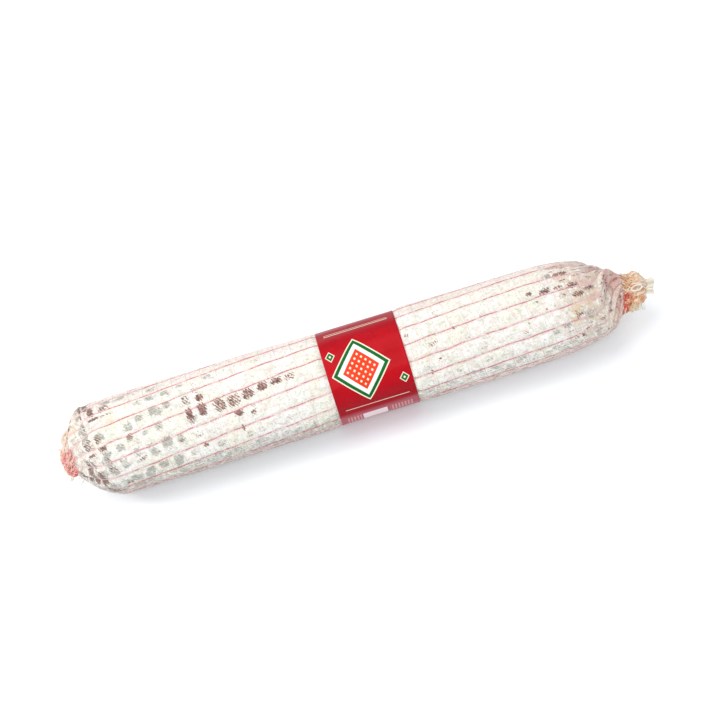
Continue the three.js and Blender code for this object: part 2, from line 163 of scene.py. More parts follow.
def lump(x, angle):
    waves = np.sin(x / 37 + 2 * angle) + 0.7 * np.sin(x / 21 - 3 * angle)
    return UNEVENNESS * waves * (1 - pinch(x)) * ease(neck_distance(x), 0, PLEAT_REACH)


def end_fold(distance, angle, fold):
    reach = fold["reach"]
    strength = ease(distance, 0, reach / 4) * (1 - ease(distance, reach / 2, reach))
    return fold["height"] * strength * np.sin(fold["count"] * angle + fold["phase"] + FOLD_SWIRL * distance)


def folds(x, angle):
    left = end_fold(x - LEFT_END["neck"], angle, LEFT_FOLDS)
    return left + end_fold(RIGHT_END["neck"] - x, angle, RIGHT_FOLDS)


def outward(angle):
    return np.stack([np.zeros_like(angle), -np.cos(angle), np.sin(angle)], axis=-1)


def centre(x):
    left = ease(x, LEFT_SAG["start"], LEFT_SAG["end"]) ** 1.5
    right = ease(x, RIGHT_SAG["start"], RIGHT_SAG["end"]) ** 1.5
    y = left * LEFT_SAG["y"] + right * RIGHT_SAG["y"]
    z = AXIS_HEIGHT + left * LEFT_SAG["z"] + right * RIGHT_SAG["z"]
    return np.stack([x, y, z], axis=-1)


def slant(x, radius, angle):
    """How far the slant of the ends moves a point along X."""
    share = LEFT_SLANT["most"] * ease(x, LEFT_SLANT["start"], LEFT_SLANT["full"])
    share = share + RIGHT_SLANT["most"] * ease(x, RIGHT_SLANT["start"], RIGHT_SLANT["full"])
    return share * radius / BODY_RADIUS * np.sin(angle - UPPER_FRONT)


def place(x, radius, angle):
    """Point at a radius round the sagging axis, with the slant of both ends."""
    x, radius, angle = np.broadcast_arrays(np.asarray(x, float), radius, angle)
    point = centre(x) + outward(angle) * radius[..., None]
    point[..., 0] += slant(x, radius, angle)
    return point


def smooth_surface(x, angle):
    return place(x, casing_radius(x) + lump(x, angle) + folds(x, angle), angle)


def surface_normal(x, angle):
    step = 0.05
    low = np.maximum(x - step, LEFT_END["neck"])
    high = np.minimum(x + step, RIGHT_END["neck"])
    along = smooth_surface(high, angle) - smooth_surface(low, angle)
    around = smooth_surface(x, angle + step) - smooth_surface(x, angle - step)
    normal = np.cross(along, around)
    return normal / np.linalg.norm(normal, axis=-1, keepdims=True)


def leaned(x, angle):
    beside = np.maximum(np.maximum(LABEL_LEFT - x, x - LABEL_RIGHT), 0)
    room = np.minimum(beside, neck_distance(x)) / HOOP_LEAN_EASE
    return x - HOOP_LEAN * np.sin(angle - UPPER_FRONT) * ease(room, 0, 1)


def thread_angle(x, thread):
    return FIRST_THREAD + twist(x) + thread * GAP_ANGLE


# Net coordinates: hoops counted along the casing, gaps counted round it

ALONG = np.linspace(LEFT_END["neck"], RIGHT_END["neck"], 6000)
_steps = np.hypot(np.diff(ALONG), np.diff(casing_radius(ALONG)))
ARC = np.concatenate([[0], np.cumsum(_steps)])


def arc(x):
    return np.interp(x, ALONG, ARC)


def hoop_number(x):
    """Whole numbers are hoops; the count is stretched a little where the band hides it."""
    left = (arc(x) - arc(LEFT_CELL)) / HOOP_PITCH + 0.5
    right = (arc(x) - arc(RIGHT_CELL)) / HOOP_PITCH + 0.5 + CELLS_BETWEEN
    return blend(left, right, ease(x, LABEL_LEFT + 5, LABEL_RIGHT - 5))


def hoop_places():
    numbers = hoop_number(ALONG)
    first, last = math.ceil(numbers[0] + 0.3), math.floor(numbers[-1] - 0.6)
    return [float(np.interp(number, numbers, ALONG)) for number in range(first, last + 1)]


def seen_rise(y, z):
    """Height over the axis, in the camera's view, of a point across the salami."""
    return y * math.sin(UPPER_FRONT) + (z - AXIS_HEIGHT) * math.cos(UPPER_FRONT)


def net_place(x_seen, height_seen):
    """Hoop and gap number of a spot given by X and height in the camera's view."""
    aim_height = seen_rise(*CAMERA_AIM)
    x, height = x_seen, height_seen
    for _ in range(3):
        sag = seen_rise(*centre(np.array(x))[1:])
        radius = float(casing_radius(np.array(x)))
        up = math.asin(max(-EDGE, min(EDGE, (height - sag) / radius)))
        nearer = radius * math.cos(up) / CAMERA_DISTANCE
        x = CAMERA_X + (x_seen - CAMERA_X) * (1 - nearer)
        height = aim_height + (height_seen - aim_height) * (1 - nearer)
    angle = np.array(UPPER_FRONT + up)
    x -= float(slant(x, radius, angle))
    row = x
    for _ in range(3):
        row = x + row - float(leaned(np.array(row), angle))
    gap = (float(angle) - FIRST_THREAD - float(twist(np.array(row)))) / GAP_ANGLE
    return float(hoop_number(np.array(row))), gap % THREADS


# Relief of the casing

def relief(x, angle, gap):
    """Depth below the smooth surface: valleys under the threads, grooves under the hoops."""
    from_thread = np.abs(gap - np.round(gap)) * 2
    pillow = 1 - (1 - from_thread) ** PILLOW_FULLNESS
    hoop = hoop_number(x)
    from_hoop = np.abs(hoop - np.round(hoop)) * HOOP_PITCH
    groove = HOOP_DEPTH * np.exp(-(from_hoop / HOOP_WIDTH) ** 2) * (1 - pinch(x))
    groove *= ease(neck_distance(x), 4, 14)
    return valley_depth(x) * (1 - pillow) + groove * pillow


def cell_chance(hoop, gap, salt):
    """Steady random share for a cell of the net."""
    mixed = np.sin(np.floor(hoop) * 127.1 + np.floor(gap % THREADS) * 311.7 + salt * 74.7) * 43758.5453
    return mixed - np.floor(mixed)


def ridge_line(x, angle, start, end, width, height):
    """Ridge along a line on the casing; a negative height presses a valley."""
    radius = casing_radius(x)
    x0, a0 = start
    x1, a1 = end
    a0, a1 = UPPER_FRONT + math.radians(a0), UPPER_FRONT + math.radians(a1)
    turn = (angle - a0 + math.pi) % (2 * math.pi) - math.pi
    dx, da = x1 - x0, (a1 - a0) * radius
    px, pa = x - x0, turn * radius
    length2 = dx * dx + da * da
    share = np.clip((px * dx + pa * da) / length2, -0.2, 1.2)
    away = np.hypot(px - share * dx, pa - share * da)
    ends = ease(share, -0.2, 0.2) * ease(share, 1.2, 0.8)
    return height * np.exp(-(away / width) ** 2) * ends * ease(neck_distance(x), 0.6, 2.2)


# Folds of the casing that the gathered ends show: start and end as X and degrees above the
# view's middle, then width and height
FOLD_RIDGES = [
    ((245, 68), (228, -7), 3.2, 3.0),
    ((248, 44), (234, -14), 3.0, -2.6),
    ((236, 80), (214, 40), 2.4, 1.2),
    ((241, 78), (226, 44), 2.0, -1.2),
    ((252, 30), (240, -30), 2.0, 1.1),
    ((247, 20), (233, -45), 2.0, -1.0),
    ((250, -20), (228, -70), 2.2, 1.1),
    ((246, 110), (216, 90), 3.0, 1.4),
    ((246, 160), (212, 140), 3.0, 1.6),
    ((244, 200), (214, 176), 3.0, -1.6),
    ((246, 250), (214, 230), 3.0, 1.5),
    ((-278, 92), (-267, 88), 9.0, 5.4),
    ((-272, 74), (-258, 70), 1.6, -1.4),
    ((-250, 62), (-262, 16), 2.6, -2.6),
    ((-256, 74), (-266, 28), 2.4, 2.2),
    ((-255, 86), (-246, 80), 3.6, 1.8),
    ((-271, 40), (-258, 46), 2.2, 1.4),
    ((-268, 20), (-252, 34), 2.0, 0.9),
    ((-268, -60), (-246, -48), 2.4, 1.1),
    ((-268, 150), (-244, 140), 3.0, 1.4),
    ((-268, 220), (-246, 230), 3.0, 1.2),
]


def fold_ridges(x, angle):
    return sum(ridge_line(x, angle, *line) for line in FOLD_RIDGES)


def skin_point(x, angle, gap, extra=0.0):
    """Point on the dressed casing; extra lifts it."""
    puff = PUFF * (cell_chance(hoop_number(x), gap, 1) - 0.5)
    puff *= np.sin(np.pi * (gap % 1)) * np.sin(np.pi * (hoop_number(x) % 1)) * (1 - pinch(x))
    height = fold_ridges(x, angle) + puff - relief(x, angle, gap) + extra
    point = smooth_surface(x, angle) + surface_normal(x, angle) * height[..., None]
    point[..., 2] = np.maximum(point[..., 2], 0)
    return point


# Blotches: X, height in the view, half length, half height, strength

BROWN_SPOTS = [
    (-251, 39.6, 4.6, 7.5, 1), (-245.4, 35.8, 2.4, 6.4, 1), (-232.5, 36.8, 3.8, 3.2, 0.75),
    (-249.6, 37.6, 1.4, 1.4, 1), (-236, 35.2, 1.2, 3, 0.8), (-238, 29.6, 3, 1, 0.8),
    (-244.3, 29, 5, 1.4, 0.9), (-232.5, 30.4, 3.8, 1.1, 0.7), (-257, 6, 3.4, 3.4, 0.6),
    (-254, 10.9, 1.8, 2.2, 0.6), (-245.7, 9.9, 2.6, 3.2, 0.7), (-255, -2.8, 3.8, 1.5, 0.85),
    (-243.7, 0.5, 4, 1.9, 0.95), (-267.7, -18, 4.8, 3.2, 1), (-259.4, -17.5, 4, 4.6, 0.8),
    (-255, -22.8, 5.6, 4.6, 0.8), (-254.2, -27.6, 6.8, 4.6, 1), (-258.5, -11.5, 4, 4.4, 0.6),
    (-243.3, -11.7, 4.6, 4.4, 0.25), (-240, -21, 4.6, 5, 0.28), (-210, -18, 3.4, 1.1, 0.6),
    (-216.8, 4, 3.2, 2.2, 0.6), (-227.7, -35.6, 3, 1.7, 0.95), (-188.2, 6, 2, 2.6, 0.3),
    (-158, 6.9, 2.9, 6.2, 1), (-145.8, 8.8, 3.9, 5.6, 0.95), (-145.3, 19.6, 3.2, 2.8, 0.95),
    (-158.4, 21, 3.8, 4.4, 0.42), (-147.7, 27.4, 3.6, 3.2, 0.35), (-129.1, 7.8, 4.9, 5.8, 0.72),
    (-115.9, 8.3, 5.8, 5.2, 0.7), (-101.2, 10.3, 5.4, 4, 0.85), (-86.5, 12.7, 5, 3.8, 0.85),
    (-73.8, 13.7, 5.2, 3, 0.8), (-60.1, 14.2, 4.6, 3.2, 0.55), (-113.9, -4.9, 3.9, 2.6, 0.95),
    (-100.7, -7.4, 2.2, 1.5, 0.9), (-99.6, -2, 2.4, 2, 0.3), (-113.7, -19.1, 1, 3.2, 0.85),
    (-151.7, -24, 1.8, 1.7, 1), (-153.6, -13.5, 2.6, 1.1, 0.6), (-171.7, -13.2, 2, 1.4, 0.5),
    (172.1, 20.9, 2.2, 1.6, 0.8), (187, 18.8, 4.8, 2.5, 0.85), (198.8, 37.6, 5.2, 1.2, 0.6),
    (204.4, 30.9, 6, 1.9, 1), (199.6, 18.9, 4, 1.5, 0.7), (213.2, 17.3, 5, 2.6, 0.75),
    (215.6, 7.8, 4.6, 2.1, 0.9), (203.6, 10.3, 2.2, 1.1, 0.5), (192.1, 3.9, 1.6, 1, 0.4),
    (225.5, 9.6, 4.2, 1.4, 0.6), (53.6, 17.8, 1.1, 1.8, 1), (210, -30, 1.7, 1.8, 1),
    (212.5, -10.5, 3, 1.1, 0.6), (210.5, -6, 2.6, 1, 0.5), (176.9, -31.2, 2.8, 1.2, 0.5),
    (186, -32.5, 2.6, 1.1, 0.45), (203.6, -30.3, 2.6, 1.2, 0.4), (85, 27.4, 1.4, 0.8, 0.6),
    (78, 4.5, 1.8, 1.4, 0.45), (73, 2.6, 3, 1.6, 0.35), (76.4, -12, 1.6, 1.2, 0.5),
    (76, -28, 0.9, 3, 0.6), (107, -1, 2, 0.8, 0.4), (165, -5, 1.4, 1, 0.4), (-263, -23.5, 4, 3, 0.6),
    (-249, -38, 6, 2.4, 0.6), (-240, -41, 6, 2, 0.5), (-266, 23.4, 1, 2.4, 0.95),
    (-270.5, 18, 1.2, 3.4, 0.35), (-275, 10, 1.4, 2, 0.8), (-255, 32.5, 1, 2.6, 0.8),
    (-266, 32, 1.2, 2.4, 0.6), (-254.6, 24, 1.2, 5, 0.55), (-252.4, 3, 1.6, 1.2, 0.7),
    (-273, -12, 2.2, 4, 0.8), (-265, -27, 3, 3, 0.8), (-256, -34.5, 4, 1.6, 0.6),
    (-226.6, 30.2, 1.6, 1, 0.5), (212, 38, 5, 0.9, 0.5), (222, 34, 5, 1.1, 0.5), (232, 29, 4, 1.2, 0.5),
    (190, 41, 5, 0.8, 0.45), (218, 25, 4, 1, 0.45), (229, 19, 3, 1, 0.5), (205, 24, 3, 1, 0.4),
    (238, 22, 3, 1.4, 0.5), (209.6, -10, 0.9, 4.6, 0.75), (243.5, 8, 1.3, 5, 0.6), (239, 2, 1.3, 5, 0.5),
    (234.5, -3, 1.4, 4, 0.45), (227, 33.6, 2.4, 1.6, 0.7), (234, 29.8, 2.6, 1.6, 0.7),
    (242, 23.6, 2.2, 1.8, 0.8), (246.6, 18, 1.6, 2.2, 0.8), (250.6, 13, 1.8, 1.8, 0.7),
    (253.4, 8.6, 1.8, 1.4, 0.7), (239.6, 12.6, 3.4, 1.1, 0.6), (244, -9, 1.2, 3, 0.5),
    (241.5, -15, 1.4, 4, 0.5), (247.5, -13, 1.2, 4, 0.5), (238.5, -18, 1.4, 3, 0.5),
    (252, -9, 1.4, 4, 0.6), (226.6, 24.6, 1.2, 1, 0.9), (228, 10.6, 1.8, 1, 0.9),
    (231, -20.6, 3.4, 1.4, 0.5), (233, -30, 1.6, 1.2, 0.6), (200, -23, 3, 1, 0.6), (216, -25, 3, 1, 0.6),
    (178, 12, 1.6, 1, 0.7), (160, -12, 2, 1, 0.6), (184, 3, 1.4, 0.8, 0.8), (208, 35.5, 4, 0.9, 0.7),
    (220, 30, 4, 0.9, 0.7), (196, 34.6, 3, 0.8, 0.6), (231, 24.5, 3, 0.9, 0.7), (97, 12, 2.2, 1.6, 0.6),
    (119, -14, 2, 1, 0.6), (66, -21, 0.9, 3, 0.7), (83, 31, 1.6, 0.9, 0.6), (206, -38, 5, 1, 0.5),
    (190, -38, 5, 1, 0.45),
]
GREY_SPOTS = [
    (-256, 9, 5, 6.5, 0.6), (-259, -10, 4.4, 5, 0.8), (-243.3, -13, 5, 6, 0.85),
    (-239.5, -22, 5.6, 5.6, 0.8), (-228, -18, 4.4, 5.4, 0.75), (-213.7, -11.7, 4, 5.4, 0.6),
    (-213, -19, 4.2, 3, 0.6), (-216.8, 2.4, 3.6, 4, 0.7), (-201.9, 3.6, 3, 2.4, 0.8),
    (-188.2, 6, 3.6, 4.4, 0.8), (-215.9, 16.7, 3.4, 2.8, 0.5), (-203.5, 18.2, 4, 3.6, 0.9),
    (-189.6, 20.6, 4.4, 4.4, 1), (-175.9, 22.6, 4.2, 4.2, 0.85), (-190.6, 43.2, 3.6, 2, 0.9),
    (-189.7, 33.4, 4.2, 3.2, 0.9), (-175.9, 33.9, 3.8, 3.2, 0.9), (-219.9, 40.2, 2.6, 2.8, 0.75),
    (-205.2, 42, 3.6, 2, 0.7), (-232, 43.5, 5, 1.8, 0.5), (-243.4, -36, 6.4, 3.2, 1),
    (-228, -35, 4.4, 3, 0.9), (-217.9, -33.2, 4.4, 3.4, 0.9), (-206.1, -30.7, 4.6, 3.8, 1),
    (-193.4, -29.3, 4.6, 3.8, 1), (-178.7, -27.8, 4.8, 3.6, 0.95), (-163, -27, 4.2, 3, 0.7),
    (-185.3, -10.7, 5.2, 5.2, 0.9), (-171.5, -11.7, 3.6, 4, 0.8), (-200, -10.7, 3.6, 4.4, 0.6),
    (-157, -12.5, 3.6, 2.6, 0.5), (-142.9, -35.2, 5, 3.2, 0.8), (-128.6, -36.8, 5, 3.2, 0.8),
    (-115, -36.4, 4.4, 3, 0.7), (-102.1, -35.2, 5, 3.2, 0.85), (-88, -35, 4.4, 3, 0.6),
    (-75.6, -35.2, 5, 3, 0.65), (-57.2, -34.6, 4.4, 3, 0.6), (-132.7, 36.2, 4.2, 2.8, 0.7),
    (-160, 36, 4, 2.6, 0.6), (-146, 33, 4, 3, 0.5), (-118, 36, 4, 2.4, 0.5), (-86, 37, 5, 2.6, 0.5),
    # Painted shade: the grey spots at (-256, 24), (-259, 13) and (-256, 18) lie in the valley of the left
    # end's fold.
    (-158, 26, 4, 3, 0.5), (-256, 24, 3, 8, 0.8), (-259, 13, 3, 7, 0.7), (-250, -37, 10, 4.4, 1),
    (-239, -41, 10, 3.6, 1), (-263, -25, 5, 4, 0.8), (-222, -40, 10, 3, 0.9), (-256, 18, 2.6, 14, 0.75),
    (-251, 21, 4, 4, 0.35), (-265, 5, 5, 6, 0.4), (-268, -10, 4, 5, 0.5), (192.5, 31.6, 4.2, 2.6, 0.9),
    (187, 20, 5.4, 3.2, 0.6), (228.6, 10, 4.2, 2, 0.8), (185.6, -20, 4.2, 2.6, 0.7),
    (198.8, -17.6, 4.8, 3, 0.85), (222.6, -13.7, 6.5, 4.6, 0.75), (247.5, 1, 1.6, 5, 0.7),
    (170, -30, 5.4, 2.8, 0.5), (198, -33, 5, 2.8, 0.7), (225, -28, 5.4, 4, 0.75),
    (182, -34, 4.8, 2.6, 0.65), (213, -36, 5, 2.6, 0.6), (205, 10, 3.4, 2, 0.5), (105, 5, 4.4, 3, 0.35),
    (120, -10, 4, 2.6, 0.35), (92, -20, 4.6, 3, 0.35), (74, 3.5, 4, 3, 0.5), (66, -16, 4.6, 3, 0.5),
    (140, 18, 4, 2.4, 0.3), (100, -34, 6, 3, 0.6), (125, -35, 6, 3, 0.6), (150, -34, 6, 3, 0.6),
    (70, -35, 5, 3, 0.5), (160, -18, 4.4, 2.6, 0.4),
]
STAINS = [
    (-228.6, 24, 5, 3, 0.6), (-220, 20, 9, 2.2, 0.4), (-150, 34, 6, 3, 0.4), (-92, 33, 7, 3, 0.35),
    (-60, -40, 14, 2.4, 0.5), (66, -8, 5, 6, 0.5), (68, -24, 4, 4, 0.45), (131, 10, 2.4, 6, 0.4),
    (64, 26, 4, 2, 0.35), (210, -6, 4, 6, 0.9), (207.5, -15, 3.2, 3.4, 1), (213, 5, 4.4, 4, 0.7),
    (222, -2, 8, 4, 0.7), (229, 3, 6, 4, 0.6), (150, -36, 10, 2, 0.3), (112, -34, 6, 2, 0.3),
    (224, -16, 7, 4, 0.55), (236, 20, 6, 6, 0.5), (240, -26, 5, 5, 0.4), (206, 0, 14, 22, 0.3),
    (222, 10, 16, 28, 0.36), (212, 27, 14, 8, 0.4), (158, 23, 4, 2, 0.4),
]
PINKS = [
    (197, 43, 18, 4, 0.9), (214, 36, 12, 3.4, 0.8), (236, 27, 9, 5, 1), (243, 12, 4, 8, 1),
    (230, 1, 5, 4, 0.7), (203, 27.5, 8, 2, 0.7), (246, -20, 8, 6, 0.9), (220, -38, 16, 4, 0.7),
    (251, 8, 7, 8, 0.8), (-226, -41, 26, 3.4, 0.7), (-251, 34, 5, 8, 0.4), (190, 30, 14, 8, 0.45),
    (226, 16, 12, 8, 0.6), (-264, -2, 6, 10, 0.4),
]


def blunt(along, across):
    """Distance whose circles are rounded squares."""
    return (np.abs(along) ** 3 + np.abs(across) ** 3) ** (1 / 3)


def blotches(spots, hoop, gap, width):
    """Strength at each place of the casing of a list of blotches."""
    total = np.zeros_like(hoop)
    for x, height, long, high, strength in spots:
        spot_hoop, spot_gap = net_place(x, height)
        along = (hoop - spot_hoop) * HOOP_PITCH / long
        across = ((gap - spot_gap + THREADS / 2) % THREADS - THREADS / 2) * width / high
        total = np.maximum(total, strength * (1 - ease(blunt(along, across), 0.6, 1.5)))
    return total


def facing(angle):
    """One in the middle of the side that the camera sees, minus one opposite."""
    return np.cos(angle - UPPER_FRONT)


def fold_tan(x, angle):
    """Tan stain on the folds over the left bunch."""
    above = (angle - UPPER_FRONT + math.pi) % (2 * math.pi) - math.pi
    return 0.64 * ease(x, -244, -260) * ease(above, 0.45, 0.85) * ease(above, 2.3, 1.8)


def edge_pink_and_low_shade(angle):
    """Pink that the net leaves on the lowest and the highest part of the seen side; on the lowest part it
    is also painted shade.
    """
    height = np.sin(angle - UPPER_FRONT)
    return 0.75 * ease(height, -0.78, -0.96) + 0.5 * ease(height, 0.62, 0.92)


def grey_mould_and_low_shade(x, angle, hoop, gap):
    """Grey-green mould in the middle of the net's cells, strongest at the left third; along the lowest part
    of the seen side an even grey that is mould and painted shade.
    """
    left = 0.75 * ease(x, -100, -190) + 0.25 * ease(x, -30, -100)
    low = 0.6 * ease(np.sin(angle - UPPER_FRONT), -0.2, -0.7) + 0.12
    right = 0.45 * ease(x, 150, 215)
    share = np.clip(np.maximum(np.maximum(left, right), low), 0, 1)
    wanted = cell_chance(hoop, gap, 2) < 0.35 + 0.5 * share
    along = (hoop % 1 - 0.5 - 0.2 * (cell_chance(hoop, gap, 3) - 0.5)) * HOOP_PITCH / 4.2
    across = (gap % 1 - 0.5 - 0.3 * (cell_chance(hoop, gap, 4) - 0.5)) * CELL_WIDTH / 3.8
    strength = wanted * (0.35 + 0.65 * cell_chance(hoop, gap, 5)) * share
    # Painted shade as well as mould: an even grey along the lowest part of the seen side.
    edge = (0.70 - 0.20 * ease(x, 40, 110)) * ease(np.sin(angle - UPPER_FRONT), -0.56, -0.84)
    return np.maximum(strength * (1 - ease(blunt(along, across), 0.6, 1.6)), edge)


def scattered_brown(angle, hoop, gap):
    """A few brown blotches on the side away from the camera."""
    hidden = 1 - ease(facing(angle), -0.25, 0.05)
    wanted = cell_chance(hoop, gap, 7) < 0.07
    along = (hoop % 1 - 0.5) * HOOP_PITCH / 3.6
    across = (gap % 1 - 0.5) * CELL_WIDTH / 2.6
    return 0.8 * wanted * hidden * np.exp(-0.5 * (along * along + across * across) ** 2)


# Making meshes

def mesh_object(name, bm, material, smooth=True):
    mesh = bpy.data.meshes.new(name)
    bm.to_mesh(mesh)
    bm.free()
    mesh.materials.append(material)
    if smooth:
        mesh.shade_smooth()
    piece = bpy.data.objects.new(name, mesh)
    bpy.context.collection.objects.link(piece)
    return piece


def wrapped_sheet(name, rows, columns, shape, material, uv=None, attributes=None, doubles=1e-7):
    """A grid bent into shape(row share, column share), in millimetres, with its seams merged."""
    bm = bmesh.new()
    bmesh.ops.create_grid(bm, x_segments=rows, y_segments=columns, size=0.5)
    flat = np.array([vertex.co[:2] for vertex in bm.verts]) + 0.5
    points = shape(flat[:, 0], flat[:, 1])
    for vertex, point in zip(bm.verts, points * MM):
        vertex.co = point
    if uv is not None:
        net = uv(flat[:, 0], flat[:, 1])
        layer = bm.loops.layers.uv.new("net")
        for face in bm.faces:
            for loop in face.loops:
                loop[layer].uv = net[loop.vert.index]
    for key, strength in (attributes or {}).items():
        values = strength(flat[:, 0], flat[:, 1])
        layer = bm.verts.layers.float.new(key)
        for vertex, value in zip(bm.verts, values):
            vertex[layer] = float(value)
    bmesh.ops.remove_doubles(bm, verts=bm.verts, dist=doubles)
    bmesh.ops.recalc_face_normals(bm, faces=bm.faces)
    return mesh_object(name, bm, material)


def cords(name, paths, radius, material, sides=6, closed=False):
    """Round cords along paths of points; a path may carry a thickness share for each point."""
    curve = bpy.data.curves.new(name, "CURVE")
    curve.dimensions = "3D"
    curve.bevel_depth = radius * MM
    curve.bevel_resolution = (sides - 4) // 2
    curve.use_fill_caps = True
    curve.twist_mode = "MINIMUM"
    for path in paths:
        points, shares = path if isinstance(path, tuple) else (path, np.ones(len(path)))
        spline = curve.splines.new("POLY")
        spline.points.add(len(points) - 1)
        spline.points.foreach_set("co", np.c_[points * MM, np.ones(len(points))].ravel())
        spline.points.foreach_set("radius", np.asarray(shares, float))
        spline.use_cyclic_u = closed
    drawn = bpy.data.objects.new(name + "_drawn", curve)
    bpy.context.collection.objects.link(drawn)
    depsgraph = bpy.context.evaluated_depsgraph_get()
    mesh = bpy.data.meshes.new_from_object(drawn.evaluated_get(depsgraph))
    bpy.data.objects.remove(drawn)
    bm = bmesh.new()
    bm.from_mesh(mesh)
    bpy.data.meshes.remove(mesh)
    bmesh.ops.remove_doubles(bm, verts=bm.verts, dist=1e-7)
    bmesh.ops.recalc_face_normals(bm, faces=bm.faces)
    return mesh_object(name, bm, material)


def smooth_path(points, count):
    """Points spread evenly by number over a smooth curve through the given ones."""
    points = np.asarray(points, float)
    padded = np.vstack([2 * points[0] - points[1], points, 2 * points[-1] - points[-2]])
    place_along = np.linspace(0, len(points) - 1 - 1e-9, count)
    index = place_along.astype(int)
    t = (place_along - index)[:, None]
    a, b, c, d = (padded[index + k] for k in range(4))
    bend, twirl = 2 * a - 5 * b + 4 * c - d, 3 * b - a - 3 * c + d
    return 0.5 * (2 * b + (c - a) * t + bend * t * t + twirl * t ** 3)


# Shader sums

class Shade:
    """A value on a material's node tree, for sums written as plain expressions."""

    def __init__(self, paint, socket):
        self.paint = paint
        self.socket = socket

    def sum(self, operation, *values):
        sockets = dict(enumerate((self,) + values))
        return self.paint.node("Math", {"operation": operation}, sockets)

    def __add__(self, other):
        return self.sum("ADD", other)

    def __sub__(self, other):
        return self.sum("SUBTRACT", other)

    def __mul__(self, other):
        return self.sum("MULTIPLY", other)

    def __truediv__(self, other):
        return self.sum("DIVIDE", other)

    def __rsub__(self, other):
        return (self * -1.0) + other

    __radd__ = __add__
    __rmul__ = __mul__

    def smooth(self, start, end):
        settings = {"interpolation_type": "SMOOTHSTEP"}
        sockets = {"Value": self, "From Min": start, "From Max": end}
        return self.paint.node("MapRange", settings, sockets)

    def fract(self):
        return self.sum("FRACT")

    def abs(self):
        return self.sum("ABSOLUTE")

    def most(self, other):
        return self.sum("MAXIMUM", other)


class Paint:
    """A material being made."""

    def __init__(self, name):
        self.material = bpy.data.materials.new(name)
        self.material.use_nodes = True
        self.tree = self.material.node_tree
        self.tree.nodes.clear()

    def node(self, kind, settings=None, sockets=None, output=0):
        made = self.tree.nodes.new("ShaderNode" + kind)
        for setting, value in (settings or {}).items():
            setattr(made, setting, value)
        for socket, value in (sockets or {}).items():
            if isinstance(value, Shade):
                self.tree.links.new(value.socket, made.inputs[socket])
            else:
                made.inputs[socket].default_value = value
        return Shade(self, made.outputs[output] if made.outputs else None)

    def colour_mix(self, share, first, second):
        settings = {"data_type": "RGBA", "clamp_factor": True}
        return self.node("Mix", settings, {0: share, 6: first, 7: second}, output=2)

    def layered(self, colour, *layers):
        """The colour with further ones laid over it, each a share and a colour, 0 to 255."""
        for share, over in layers:
            colour = self.colour_mix(share, colour, rgb(*over))
        return colour

    def object_place(self):
        return self.node("TexCoord", output=3)

    def attribute(self, name):
        return self.node("Attribute", {"attribute_name": name}, output=2)

    def surface_uv(self):
        return self.node("UVMap", {"uv_map": "net"})

    def apart(self, vector):
        first = self.node("SeparateXYZ", None, {0: vector})
        return [Shade(self, output) for output in first.socket.node.outputs]

    def together(self, x, y, z=0.0):
        return self.node("CombineXYZ", None, {0: x, 1: y, 2: z})

    def noise(self, vector, size_mm, detail=3.0, roughness=0.55, distortion=0.0):
        sockets = {"Vector": vector, "Scale": 1 / (size_mm * MM), "Detail": detail}
        sockets.update({"Roughness": roughness, "Distortion": distortion})
        return self.node("TexNoise", None, sockets)

    def bump(self, height, distance_mm, strength):
        sockets = {"Height": height, "Strength": strength, "Distance": distance_mm * MM}
        return self.node("Bump", None, sockets)

    def surface(self, **sockets):
        """Ends the material with a principled surface; underscores stand for spaces."""
        named = {key.replace("_", " "): value for key, value in sockets.items()}
        shader = self.node("BsdfPrincipled", None, named)
        self.node("OutputMaterial", None, {"Surface": shader})
        return self.material


def rgb(red, green, blue):
    """Colour as it looks in the photograph's bright light, 0 to 255, as a surface's own colour."""
    values = [channel / 255 for channel in (red, green, blue)]
    linear = [v / 12.92 if v <= 0.04045 else ((v + 0.055) / 1.055) ** 2.4 for v in values]
    return (*(value / BRIGHTNESS for value in linear), 1.0)


# Materials

